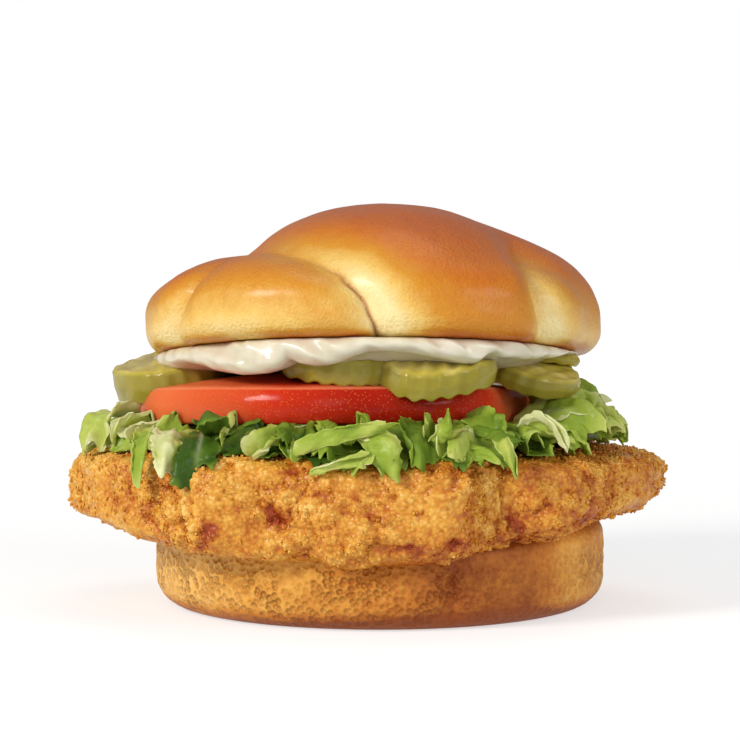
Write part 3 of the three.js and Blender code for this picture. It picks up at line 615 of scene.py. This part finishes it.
# Pickled cucumber: translucent wet flesh, yellow green, with paler watery patches
pickled, tree, surface, where, rind = new_material("pickled_cucumber_crinkle_cut", "rind")
cloudy = add_node(tree, "TexNoise", {"Scale": 190.0, "Detail": 4.0}, {"Vector": where})
stops = [(0.3, "#a99a34"), (0.72, "#dccc78"), (0.5, "#c2b04e")]
shade = add_node(tree, "ValToRGB", links={"Fac": cloudy}, stops=stops)
shade = add_node(tree, "MixRGB", {"Color2": colour("#8f8428")}, {"Fac": rind, "Color1": shade})
bumpy = add_node(tree, "TexNoise", {"Scale": 700.0, "Detail": 2.0}, {"Vector": where})
bump = add_node(tree, "Bump", {"Strength": 0.3, "Distance": 0.0004}, {"Height": bumpy})
look = {
    "Roughness": 0.24, "Specular IOR Level": 0.34, "IOR": 1.38, "Coat Weight": 0.25, "Coat Roughness": 0.1,
    "Subsurface Weight": 0.4, "Subsurface Radius": (0.8, 0.7, 0.2), "Subsurface Scale": 0.004,
}
add_node(tree, "BsdfPrincipled", look, {"Base Color": shade, "Normal": bump}, to=surface)

for index, (node, (at, size, thick, tilts, droop, ridged)) in enumerate(chips.items()):
    chip, azimuth, way = ball(node + "_chip", 200, 60)
    half = thick / 2
    profile = [(0, 0, -half), (0.3, size - 0.7, -half), (0.36, size - 0.15, 0.5 - half)]
    profile += [(0.5, size + 0.15, 0), (0.64, size - 0.15, half - 0.5), (0.7, size - 0.7, half), (1, 0, half)]
    radius, height = on_profile(way, profile)
    wander = 1 + 0.02 * np.sin(3 * azimuth + index) + 0.012 * np.sin(5 * azimuth + 2 * index)
    places = around(radius * wander, azimuth, height)
    wave = np.cos(2 * pi * places[:, 0] / ridge_pitch)
    places[:, 2] += ridged / 2 * (wave - 0.1 * wave**3) * np.where(height > 0, 0.7, 1)
    places[:, :2] *= (1 + flute * wave * np.exp(-((height / half) ** 4)))[:, None]
    places[:, 2] -= droop * (np.maximum(0, -places[:, 1] - 2) / (size - 2)) ** 2
    places += 0.16 * lumps(places + 40 * index, 3.4, 5)[:, None]
    tilted = Euler([radians(tilt) for tilt in tilts], "ZXY").to_matrix()
    places = places @ np.array(tilted).T + np.array(at)
    set_places(chip, places)
    skin = np.interp(way, [0.31, 0.38, 0.62, 0.69], [0, 1, 1, 0])
    store(chip, "rind", 0.75 * skin)
    finish_piece(chip, pickled, "pickle", node, angle=60)


# Crown: the upper half of the roll, swelled into lobes where the dough was knotted and glazed.
# It browned on top, stayed pale in the creases and low down, and cracked at the front crease; beside the
# front crease the pale band is partly a painted highlight.
crown_at = (-1.9, 0.0, 55.6)
crown_lean = radians(-8.0)
bulge_height = 8.0
lower_round = 80.0
lobe_blend = 1.2
bottom_corner = 4.8
crust_swell = 18.0
crown_rings = 180
bottom_rings = 12
crown_lobes = [
    ((0.1, -14.5), (46.9, 36.9), 24.3),
    ((-12, 0.2), (39, 48.7), 23.8),
    ((2.9, 0.7), (38.8, 50.5), 33.6),
    ((15.8, 0), (35.8, 32), 28.8),
    ((5, 14.5), (41, 36.5), 25.8),
]
# Creases: path of (azimuth, elevation), reach in mm, depth and paleness to the left and right
front_path = [(273, -12), (270, -6), (267, 0), (262, 6), (250, 13), (230, 19), (200, 25), (160, 31)]
right_path = [(322, -12), (317, -3), (315, 3), (318, 9), (324, 15), (331, 22), (343, 30)]
left_path = [(206, -12), (213, -3), (218, 3), (220, 9), (216, 15), (203, 21)]
crown_creases = [
    # The front crease's pale band on its right is partly pale crust and partly a painted highlight
    (front_path, (4.0, 10.0), 4.4, (0.4, 1.25)),
    (right_path, (5.0, 6.0), 3.8, (0.3, 0.9)),
    (left_path, (5.0, 4.0), 3.8, (0.55, 0.0)),
    ([(22, -12), (30, 0), (42, 10), (66, 22), (100, 29)], (5.0, 6.0), 2.8, (0.4, 0.4)),
    ([(84, -12), (92, 0), (104, 10), (128, 20)], (5.0, 6.0), 2.8, (0.4, 0.4)),
    ([(146, -12), (152, 0), (162, 9), (180, 17)], (5.0, 6.0), 2.8, (0.4, 0.4)),
]


def lobe_reach(azimuth, elevation):
    """Distance in mm from the bulge's centre to the blended lobes."""
    toward = around(np.cos(elevation), azimuth, np.sin(elevation))
    total = 0
    for (x, y), (wide, deep), top in crown_lobes:
        up = np.where(toward[:, 2] > 0, top - bulge_height, lower_round)
        dx, dy, dz = toward[:, 0] / wide, toward[:, 1] / deep, toward[:, 2] / up
        ox, oy = -x / wide, -y / deep
        a = dx * dx + dy * dy + dz * dz
        b = ox * dx + oy * dy
        c = ox * ox + oy * oy - 1
        total = total + np.exp((-b + np.sqrt(b * b - a * c)) / a / lobe_blend)
    return lobe_blend * np.log(total)


def along_crease(path, azimuth, elevation, reach):
    """Distance in mm from a crease, its side, and how far along it the nearest place is."""
    azimuth = np.degrees(azimuth)
    elevation = np.degrees(elevation)
    flatten = np.cos(np.radians(elevation))
    nearest = np.full(len(azimuth), np.inf)
    side = np.ones(len(azimuth))
    along = np.zeros(len(azimuth))
    for i, ((a0, e0), (a1, e1)) in enumerate(zip(path, path[1:])):
        px = ((azimuth - a0 + 180) % 360 - 180) * flatten
        py = elevation - e0
        vx = (a1 - a0) * flatten
        vy = e1 - e0
        t = unit((px * vx + py * vy) / (vx * vx + vy * vy))
        distance = np.hypot(px - t * vx, py - t * vy)
        closer = distance < nearest
        nearest = np.where(closer, distance, nearest)
        side = np.where(closer, np.where(px * vy - py * vx > 0, 1, -1), side)
        along = np.where(closer, (i + t) / (len(path) - 1), along)
    return np.radians(nearest) * reach, side, along


def crown_reach(azimuth, elevation):
    """Distance to the creased crust, and how pale each place is beside the creases: pale crust, and by the
    front crease partly a painted highlight.
    """
    reach = lobe_reach(azimuth, elevation)
    depth = np.zeros(len(reach))
    pale = np.zeros(len(reach))
    for path, widths, deep, paler in crown_creases:
        distance, side, along = along_crease(path, azimuth, elevation, reach)
        right = 0.5 + 0.5 * np.tanh(distance * side / 0.8)
        width = widths[0] + (widths[1] - widths[0]) * right
        fade = 1 - along**3
        bowl = np.exp(-((distance / width) ** 2))
        fold = np.exp(-distance / (0.3 * width))
        depth += deep * fade * (0.7 * bowl + 0.5 * fold)
        blend = 0.5 + 0.5 * np.tanh(distance * side / 2.2)
        stayed_pale = (paler[0] + (paler[1] - paler[0]) * blend) * fade
        pale += stayed_pale * np.exp(-((distance / (1.1 * width)) ** 2))
    return reach - depth, pale


crown, azimuth, way = ball("glazed_roll_crown", 500, crown_rings)
azimuth -= 0.35 * np.cos(azimuth)
rim_elevation = np.zeros(len(azimuth))
for _ in range(5):
    rim_reach, _ = crown_reach(azimuth, rim_elevation)
    rim_elevation = -np.arcsin(bulge_height / rim_reach)
bottom_way = bottom_rings / crown_rings
upper_way = unit((way - bottom_way) / (1 - bottom_way))
elevation = rim_elevation + (pi / 2 - rim_elevation) * upper_way
reach, pale = crown_reach(azimuth, elevation)
plan = reach * np.cos(elevation)
height = np.maximum(0, bulge_height + reach * np.sin(elevation))
rim_plan = rim_reach * np.cos(rim_elevation)
inset = bottom_corner * (1 - np.sqrt(1 - unit(1 - height / bottom_corner) ** 2))
plan = np.where(way < bottom_way, (rim_plan - bottom_corner) * way / bottom_way, plan - inset)
places = around(plan, azimuth, height)

# The crack at the foot of the front crease, and the fine wrinkles beside it
distance, side, along = along_crease(front_path, azimuth, elevation, reach)
jagged = distance * side + 0.8 * lumps(places, 5.5, 8) + 0.3 * lumps(places, 2.4, 9)
crack = np.exp(-((jagged / 0.42) ** 2)) * np.interp(along, [0, 0.35, 0.6], [1, 0.9, 0])
wrinkle = np.sin(np.degrees(azimuth) * 2.1 + 2.4 * lumps(places, 7, 4))
wrinkled = np.exp(-((distance - 5) ** 2) / 20) * unit(1 - height / 9) * (side > 0)
outer = np.where(way < bottom_way, 0, 1)
push = outer * (0.35 * lumps(places, 11, 3) + 0.1 * lumps(places, 4, 5) - 0.6 * crack)
push += outer * 0.24 * wrinkle * wrinkled
normal_out = places - np.array([0, 0, -crust_swell])
normal_out /= np.linalg.norm(normal_out, axis=1)[:, None]
places += normal_out * push[:, None]
places[:, 2] = np.maximum(places[:, 2], 0)
browning = np.interp(height, [0, 3, 9, 17, 25, 33], [0.5, 0.5, 0.58, 0.76, 0.92, 1.0])
turned = np.degrees(azimuth) % 360
unbrowned = np.interp(turned, [0, 30, 180, 250, 268, 278, 308, 322, 360], [1, 0.7, 1, 1, 0.5, 0, 0, 1, 1])
browning -= 0.3 * unbrowned * np.interp(height, [0, 5, 13, 20], [1, 0.85, 0.4, 0])
browning += 0.1 * lumps(places, 21, 12) + 0.05 * lumps(places, 6, 13) - 0.5 * pale
browning += 0.06 * np.cos(azimuth) * unit(1 - height / 26)
toasted_edge = unit(1 - height / (1.6 + 0.9 * lumps(places, 7, 15)))
browning += 0.6 * toasted_edge * unit(0.6 + 1.2 * lumps(places, 12, 16))
set_places(crown, leaned(places, crown_lean, crown_at))
store(crown, "browned", unit(browning))
store(crown, "crack", crack)

# Egg-washed bread crust: a soft gloss that the skin's pores, about 0.7 mm apart, break up
glazed, tree, surface, where, browned, cracked = new_material("egg_washed_bread_crust", "browned", "crack")
mottle = add_node(tree, "TexNoise", {"Scale": 420.0, "Detail": 6.0}, {"Vector": where})
mottled = add_node(tree, "Math", {1: 0.16}, {0: mottle, 2: browned}, operation="MULTIPLY_ADD")
stops = [(0.08, "#f8e2a4"), (1.0, "#bc5a0c"), (0.3, "#e9be62"), (0.5, "#d49027"), (0.75, "#cb7012")]
shade = add_node(tree, "ValToRGB", links={"Fac": mottled}, stops=stops)
shade = add_node(tree, "MixRGB", {"Color2": colour("#a8652a")}, {"Fac": cracked, "Color1": shade})
pores = add_node(tree, "TexNoise", {"Scale": 1500.0, "Detail": 2.0}, {"Vector": where})
bump = add_node(tree, "Bump", {"Strength": 0.7, "Distance": 0.0006}, {"Height": pores})
bump = add_node(tree, "Bump", {"Strength": 0.05, "Distance": 0.0006}, {"Height": mottle, "Normal": bump})
look = {
    "Roughness": 0.36, "Specular IOR Level": 0.22, "IOR": 1.46, "Coat Weight": 0.3, "Coat Roughness": 0.26,
    "Subsurface Weight": 0.06, "Subsurface Radius": (1.0, 0.5, 0.2), "Subsurface Scale": 0.002,
}
add_node(tree, "BsdfPrincipled", look, {"Base Color": shade, "Normal": bump}, to=surface)
finish_piece(crown, glazed, "glazed_crust", "crown", angle=60)


# Mayonnaise: a thick layer spread under the crown, squeezed out over its edge in soft lips.
# It hangs lowest at the front left and beside the second pickle, and is thinnest at both ends.
cream_radius = 48.2
cream_middle = 4.8
cream_border = 12.0
lip_width = 2.6
# Parts of the way up the profile where the flat middle, the border and the lip end
flat_end, border_end, lip_end = 0.3, 0.45, 0.85
# Lower edge of the layer in the photo, as picture points, and its depth in mm round the back
cream_edge = [
    (140, 350), (148, 358), (158, 369), (174, 368), (188, 363), (197, 365), (212, 370), (240, 374),
    (262, 373), (277, 368), (287, 358), (297, 362), (312, 365), (326, 364), (338, 361), (352, 356),
    (370, 351), (392, 350), (420, 354), (450, 359), (470, 363), (480, 363), (487, 356), (494, 353),
    (506, 357), (530, 359), (550, 358), (562, 356), (571, 350), (578, 346), (590, 344),
]  # fmt: skip
cream_behind = [
    (0, 0.8), (25, 1.8), (45, 5.6), (70, 5.0), (95, 6.2), (125, 5.4), (148, 5.2), (165, 1.6), (360, 0.8),
]  # fmt: skip

cream, azimuth, way = ball("mayonnaise_layer", 520, 72)
degrees = np.degrees(azimuth) % 360
outer = cream_radius * (1 + 0.01 * np.sin(6 * azimuth + 0.8) + 0.006 * np.sin(11 * azimuth))
outer *= 1 - 0.065 * bell(degrees, 10, 38)
rim = leaned(around(outer - 1, azimuth, 0 * way), crown_lean, crown_at)
across, down = in_picture(rim)
edge_down = np.interp(across, *zip(*cream_edge))
seen_depth = (edge_down - down) * (rim[:, 1] - camera_place[1]) / lens_pixels
behind_depth = np.interp(degrees, *zip(*cream_behind))
facing = unit(-np.sin(azimuth) * 4)
depth = np.clip(facing * seen_depth + (1 - facing) * behind_depth, 0.9, 7.5)
bent = unit((way - flat_end) / (border_end - flat_end))
turn = pi * (unit((way - border_end) / (lip_end - border_end)) - 0.5)
middle = (outer - cream_border) * way / flat_end
border = outer - cream_border + (cream_border - lip_width) * bent
top = (outer - lip_width) * (1 - way) / (1 - lip_end)
lip = np.where(way < lip_end, outer - lip_width * (1 - np.cos(turn)), top)
plan = np.where(way < flat_end, middle, np.where(way < border_end, border, lip))
under = -cream_middle - (depth - cream_middle) * bent * bent * (3 - 2 * bent)
height = np.where(way < border_end, under, depth / 2 * (np.sin(turn) - 1)) - 0.1
places = around(plan, azimuth, height)
shows = np.interp(way, [0.36, 0.45, 0.8, 0.88], [0, 1, 1, 0])
streaked = places * np.array([1, 1, 1.9]) + np.array([0, 0, 1]) * (azimuth * 40)[:, None]
folds = 1 - 2 * np.abs(lumps(streaked, 9, 3))
wavy = 1.2 * (folds - 0.4) + 0.9 * lumps(places, 13, 4) + 0.4 * lumps(places, 4, 5)
places[:, :2] *= (1 + shows * wavy / outer)[:, None]
places[:, 2] += shows * unit(-height) * (0.35 * lumps(places, 6, 6))
set_places(cream, leaned(places, crown_lean, crown_at))

# Egg mayonnaise: thick and creamy, wet gloss, light spreads a little inside it
creamy, tree, surface, where = new_material("egg_mayonnaise")
smears = add_node(tree, "TexNoise", {"Scale": 240.0, "Detail": 2.0}, {"Vector": where})
shade = add_node(tree, "ValToRGB", links={"Fac": smears}, stops=[(0.3, "#d6cdb2"), (0.7, "#e3dcc8")])
bump = add_node(tree, "Bump", {"Strength": 0.2, "Distance": 0.0006}, {"Height": smears})
look = {
    "Roughness": 0.22, "Specular IOR Level": 0.5, "IOR": 1.45, "Coat Weight": 0.3, "Coat Roughness": 0.1,
    "Subsurface Weight": 0.15, "Subsurface Radius": (1.0, 0.8, 0.5), "Subsurface Scale": 0.002,
}
add_node(tree, "BsdfPrincipled", look, {"Base Color": shade, "Normal": bump}, to=surface)
finish_piece(cream, creamy, "mayonnaise", "mayonnaise", angle=80)


# Lettuce: chopped leaves piled between the fillet and the tomato, hanging out all round.
# Each is a thin ruffled sheet, pale at its rib and darker towards its torn, frilly edge, with painted shade
# in the valleys of its folds.
leaf_thickness = 0.28
tuck_radius = 36.0
under_tomato = 0.9
over_fillet = 1.0
core_reach = (50.0, 43.0)
core_lift = 0.6
core_into_tomato = 0.8


def fillet_surface(x, y):
    """Height of the fillet's top, with its edge rounded off."""
    off_x, off_y = x - fillet_centre[0], y - fillet_centre[1]
    azimuth = np.arctan2(off_y, off_x)
    reach, drawn, blunt = fillet_plan(azimuth)
    part = unit(np.hypot(off_x, off_y) / (reach - drawn))
    flat = part ** (1 / blunt)
    edge = fillet_rim[0] + fillet_rim[1] * np.cos(azimuth) * flat
    rise = np.sqrt(1 - flat**2) ** (blunt + top_softness)
    return np.where(part < 1, edge + (fillet_top(x, y) - edge) * rise, -100.0)


def along_curve(points, run):
    """Places at parts of the way along the Bezier curve of some points."""
    last = len(points) - 1
    parts = [comb(last, k) * run**k * (1 - run) ** (last - k) for k in range(last + 1)]
    return np.stack(parts, 1) @ points


def make_leaf(spine, width, seed, tint, ruffle=2.0, tear=0.2, taper=0.0, columns=44, rows=28, across=None):
    """A torn and ruffled leaf along a spine of places, from where it is tucked in to its tip."""
    s, t = np.meshgrid(np.linspace(-1, 1, columns + 1), np.linspace(0, 1, rows + 1), indexing="ij")
    s, t = s.ravel(), t.ravel()
    draw = np.random.default_rng(seed)
    phase = draw.uniform(0, 6.28, 3)
    waves = draw.uniform(0.7, 1.5)
    skew = draw.uniform(-1.4, 1.4)
    tilt = draw.uniform(-0.5, 0.5)
    points = np.array(spine, dtype=float)
    length = np.sum(np.linalg.norm(np.diff(points, axis=0), axis=1))
    beside = np.stack([s * width, 0 * s, 0 * s], 1)
    torn = 0.7 * np.abs(lumps(beside, 5.0, seed)) + 0.9 * np.abs(lumps(beside, 2.2, seed + 1))
    torn += 1.1 * (lumps(beside, 11.0, seed + 2) + 0.2)
    run = t * np.clip(1 - tear * torn - 0.1 * s**4, 0.5, 1)
    centre = along_curve(points, run)
    ahead = along_curve(np.diff(points, axis=0), run)
    ahead /= np.linalg.norm(ahead, axis=1)[:, None] + 1e-9
    first = points[-1] - points[0]
    sideways = np.array([-first[1], first[0], 0.0] if across is None else across, dtype=float)
    sideways /= np.linalg.norm(sideways)
    if across is None:
        sideways[2] += tilt
    normal = np.cross(ahead, sideways)
    normal /= np.linalg.norm(normal, axis=1)[:, None] + 1e-9
    beside = np.stack([t * length, 5 * np.sign(s), 0 * s], 1)
    nicked = 1 - 0.6 * np.abs(s) * np.abs(lumps(beside, 3.6, seed + 3))
    wide = width * nicked * (0.72 + 0.28 * np.sin(pi * (0.1 + 0.8 * t))) * (1 - taper * t**1.6)
    edge = unit(np.abs(s) ** 3 * 0.7 + t**2)
    fold = (0.2 + 0.8 * t) * np.sin(pi * waves * (s + skew * t) + phase[0])
    fold += 0.4 * edge * np.sin(2 * pi * s * width / 4.8 + phase[1] + 3 * t)
    fold += 0.4 * edge * np.sin(4 * t + phase[2] + 2 * s)
    places = centre + sideways * (s * wide)[:, None] + normal * (ruffle * fold)[:, None]
    creased = 0.3 - np.abs(lumps(places, 5, seed + 4)) + 0.6 * np.abs(lumps(places, 2.6, seed + 5))
    places += normal * (1.5 * creased + 0.3 * lumps(places, 1.6, seed + 7))[:, None]
    inside = np.hypot(places[:, 0] - tomato_centre[0], places[:, 1]) < tomato_radius + 0.5
    roof = tomato_bottom + np.tan(stack_lean) * places[:, 1] - under_tomato
    lowered = inside & (places[:, 2] > roof) & (places[:, 2] < roof + 10)
    places[:, 2] = np.where(lowered, roof - 0.12 * (places[:, 2] - roof), places[:, 2])
    ground = fillet_surface(places[:, 0], places[:, 1]) + over_fillet
    places[:, 2] = np.maximum(places[:, 2], ground)
    rib = draw.choice([0, 0, 0.7]) * np.exp(-((s / 0.12) ** 2)) * unit(1 - 1.3 * t)
    # Random patches, darker towards the tip, painted shade in the valleys of the folds, paler at the edges
    # and the very tip
    shade = tint + 0.26 * lumps(places, 7, seed + 6) - 0.05 * fold + 0.12 * (t - 0.5)
    shade -= 0.16 * unit(np.abs(s) * 4 - 3.2) + 0.16 * unit(t * 6 - 5.2)
    return places, shade, rib, (columns, rows)


def leaf_piece(name, leaves):
    """One piece of several leaves, each a grid that gets its thickness from Solidify."""
    corners, tints, ribs, grids = zip(*leaves)
    faces = []
    start = 0
    for columns, rows in grids:
        i, j = np.meshgrid(np.arange(columns), np.arange(rows), indexing="ij")
        first = (start + i * (rows + 1) + j).ravel()
        faces.append(np.stack([first, first + rows + 1, first + rows + 2, first + 1], 1))
        start += (columns + 1) * (rows + 1)
    piece = primitive(bpy.ops.mesh.primitive_grid_add, name, x_subdivisions=2, y_subdivisions=2, size=MM)
    piece.data.clear_geometry()
    piece.data.from_pydata((np.concatenate(corners) * MM).tolist(), [], np.concatenate(faces).tolist())
    store(piece, "tint", np.concatenate(tints))
    store(piece, "rib", np.concatenate(ribs))
    thick = piece.modifiers.new("leaf_thickness", "SOLIDIFY")
    thick.thickness = leaf_thickness * MM
    thick.offset = 0
    bpy.context.view_layer.objects.active = piece
    bpy.ops.object.modifier_apply(modifier=thick.name)
    return piece


def hanging(azimuth, tip_radius, tip_height, crest, setback=6.0, swing=0.0):
    """Spine of a leaf tucked in under the tomato that folds over and hangs at an azimuth."""
    start_height = tan(stack_lean) * tuck_radius * sin(radians(azimuth)) - 1.6
    rows = [
        (azimuth - swing, tuck_radius, tomato_bottom + start_height),
        (azimuth, tip_radius - setback, crest),
        (azimuth + swing, tip_radius, tip_height),
    ]
    return [(r * cos(radians(a)), r * sin(radians(a)), z) for a, r, z in rows]


rng = np.random.default_rng(11)
# Front leaves: azimuth, half width in mm, tip radius and height, crest, setback and tint
front_leaves = [
    (190, 7.5, 66, 35.0, 44, 2, 0.36),
    (200, 7.0, 65, 35.5, 43, 3, 0.26),
    (210, 7.5, 62, 34.0, 43.5, 5, 0.4),
    (221, 7.0, 60, 34.5, 45, 6, 0.5),
    (231, 8.0, 58.5, 33.0, 45.5, 6, 0.76),
    (242, 7.5, 58, 33.5, 44.5, 6, 0.8),
    (252, 8.0, 57.5, 33.5, 44.0, 6, 0.78),
    (262, 7.5, 57.5, 34.0, 43.0, 6, 0.5),
    (273, 8.0, 57.5, 33.5, 43.0, 6, 0.56),
    (284, 8.5, 57.5, 33.0, 44, 6, 0.66),
    (294, 7.5, 57.5, 33.5, 44, 6, 0.56),
    (304, 8.0, 57, 34.0, 43.0, 6, 0.66),
    (316, 8.0, 57, 35.5, 45.0, 6, 0.4),
    (328, 8.0, 56, 36.0, 51, 6, 0.44),
    (340, 7.5, 54.5, 36.5, 52, 6, 0.36),
    (352, 7.0, 53.5, 37.0, 50, 6, 0.32),
    (358, 7.5, 51, 39.0, 58, 8, 0.5),
]
leaves = []
for index, (turn, wide, tip, low, crest, setback, tint) in enumerate(front_leaves):
    spine = hanging(turn, tip, low, crest, setback, rng.uniform(-6, 6))
    leaves.append(make_leaf(spine, wide, 100 + index, tint))
    if index % 2:
        spine = hanging(turn + 5, tip - 2, low + 3.5, crest + 0.4, setback, rng.uniform(-9, 9))
        leaves.append(make_leaf(spine, 0.8 * wide, 140 + index, tint - 0.16, ruffle=1.7))
for index in range(10):
    turn = rng.uniform(205, 348)
    tip, low, crest = rng.uniform(55, 58), rng.uniform(35, 38), rng.uniform(42, 45)
    spine = hanging(turn, tip, low, crest, 5, rng.uniform(-9, 9))
    tint = rng.uniform(0.05, 0.4)
    leaves.append(make_leaf(spine, rng.uniform(3, 4.5), 200 + index, tint + 0.12, columns=26))

# Pieces that stand out in the photo: picture points with a depth in mm, half width, way across,
# tint and how far they narrow to the tip
marked_pieces = [
    ([(146, 430, -32), (138, 436, -44), (137, 464, -46), (135, 495, -46)], 2.6, (1, 0.5, 0), 0.34, 0.85),
    ([(206, 432, -36), (200, 438, -50), (196, 464, -52), (192, 492, -52)], 4.4, (1, -0.2, 0.1), 0.9, -0.3),
    ([(164, 432, -36), (166, 436, -48), (168, 458, -50), (170, 482, -50)], 3.4, (1, 0.1, 0), 0.12, -0.15),
    ([(216, 440, -42), (212, 414, -49), (206, 412, -50), (200, 430, -51)], 4.2, (1, -0.3, 0.2), 0.76, 0.2),
    ([(294, 450, -52), (335, 428, -57), (372, 432, -57), (412, 416, -53)], 2.0, (0, -0.5, 1), 0.4, 0.2),
    ([(310, 474, -57), (335, 462, -58), (352, 460, -58), (378, 448, -56)], 1.6, (0, -0.6, 1), 0.36, 0.3),
    ([(372, 436, -54), (384, 446, -58), (388, 462, -58), (392, 486, -57)], 4.4, (0.9, 0, 0.3), 0.4, 0.3),
    ([(436, 444, -52), (446, 434, -55), (448, 420, -54), (448, 404, -52)], 2.4, (1, 0.1, 0.1), 0.4, 0.85),
    ([(500, 440, -50), (508, 450, -55), (514, 466, -55), (518, 484, -54)], 2.2, (1, 0, 0.2), 0.36, 0.8),
    ([(520, 426, -44), (548, 402, -50), (562, 434, -52), (574, 468, -50)], 1.0, (0.9, 0.4, 0.3), 0.06, 0.2),
    ([(508, 408, 8), (526, 402, 6), (546, 398, 2), (570, 402, -4)], 3.0, (0.1, 0.4, 1), 0.5, 0.1),
    ([(130, 418, -14), (104, 398, -22), (92, 424, -24), (92, 462, -22)], 5.6, (0.8, -0.6, 0.3), 0.2, 0.0),
]
for index, (spots, wide, across_way, tint, taper) in enumerate(marked_pieces):
    spine = [place_seen(*spot) for spot in spots]
    shape = {"ruffle": 1.2, "tear": 0.22, "taper": taper, "columns": 26, "across": across_way}
    leaves.append(make_leaf(spine, wide, 260 + index, tint, **shape))
front_pile = leaf_piece("lettuce_leaves_front", leaves)

leaves = []
for index in range(18):
    turn = 356 + 190 * (index + 0.5) / 18
    tip = 55 + 2 * rng.uniform(-1, 1) - 2.5 * max(0, cos(radians(turn)))
    spine = hanging(turn, tip, 35 + rng.uniform(-1.2, 1.5), 44 + rng.uniform(-2, 2))
    leaves.append(make_leaf(spine, 8.5, 300 + index, rng.uniform(0.2, 0.6), columns=36, rows=22))
for index in range(10):
    turn = rng.uniform(0, 180)
    spine = hanging(turn, rng.uniform(53, 56), rng.uniform(36, 39), rng.uniform(42, 46), 5)
    tint = rng.uniform(0.05, 0.4)
    leaves.append(make_leaf(spine, rng.uniform(3, 4.5), 340 + index, tint, columns=24, rows=18))
back_pile = leaf_piece("lettuce_leaves_back", leaves)

# Core of the pile, between the fillet's top and the tomato
core, azimuth, way = ball("lettuce_core", 160, 24)
unit_z = np.sin(pi * (way - 0.5))
flat = np.sqrt(unit(1 - unit_z**2)) ** 0.3
x = core_reach[0] * flat * np.cos(azimuth)
y = core_reach[1] * flat * np.sin(azimuth)
low = fillet_top(x, y) + core_lift
high = tomato_bottom + np.tan(stack_lean) * y + core_into_tomato
places = np.stack([x, y, np.where(unit_z > 0, high, low)], 1)
middle = (high + low) / 2
places[:, 2] = middle + (places[:, 2] - middle) * np.abs(unit_z) ** 0.3
places += 0.3 * lumps(places, 5, 5)[:, None]
set_places(core, places)
store(core, "tint", np.full(len(places), 0.6))
store(core, "rib", np.zeros(len(places)))

# Fresh lettuce: thin waxy leaf, light shines through it, veins and dimples about 4 mm apart
leafy, tree, surface, where, tinted, ribbed = new_material("fresh_lettuce_leaf", "tint", "rib")
veins = add_node(tree, "TexNoise", {"Scale": 230.0, "Detail": 5.0}, {"Vector": where})
varied = add_node(tree, "Math", {1: 0.3}, {0: veins, 2: tinted}, operation="MULTIPLY_ADD")
stops = [(0.2, "#f0f2bc"), (1.0, "#44661c"), (0.38, "#d6df74"), (0.58, "#aec648"), (0.78, "#83a234")]
shade = add_node(tree, "ValToRGB", links={"Fac": varied}, stops=stops)
shade = add_node(tree, "MixRGB", {"Color2": colour("#eef0c4")}, {"Fac": ribbed, "Color1": shade})
bump = add_node(tree, "Bump", {"Strength": 0.8, "Distance": 0.0012}, {"Height": veins})
look = {"Roughness": 0.3, "IOR": 1.42, "Specular IOR Level": 0.32}
waxy = add_node(tree, "BsdfPrincipled", look, {"Base Color": shade, "Normal": bump})
through = add_node(tree, "BsdfTranslucent", links={"Color": shade})
add_node(tree, "MixShader", {0: 0.32}, {1: waxy, 2: through}, to=surface)
finish_piece(front_pile, leafy, "lettuce_leaf", "lettuce", angle=70)
finish_piece(back_pile, leafy, "lettuce_leaf", angle=70)
finish_piece(core, leafy, "lettuce_leaf", angle=70)
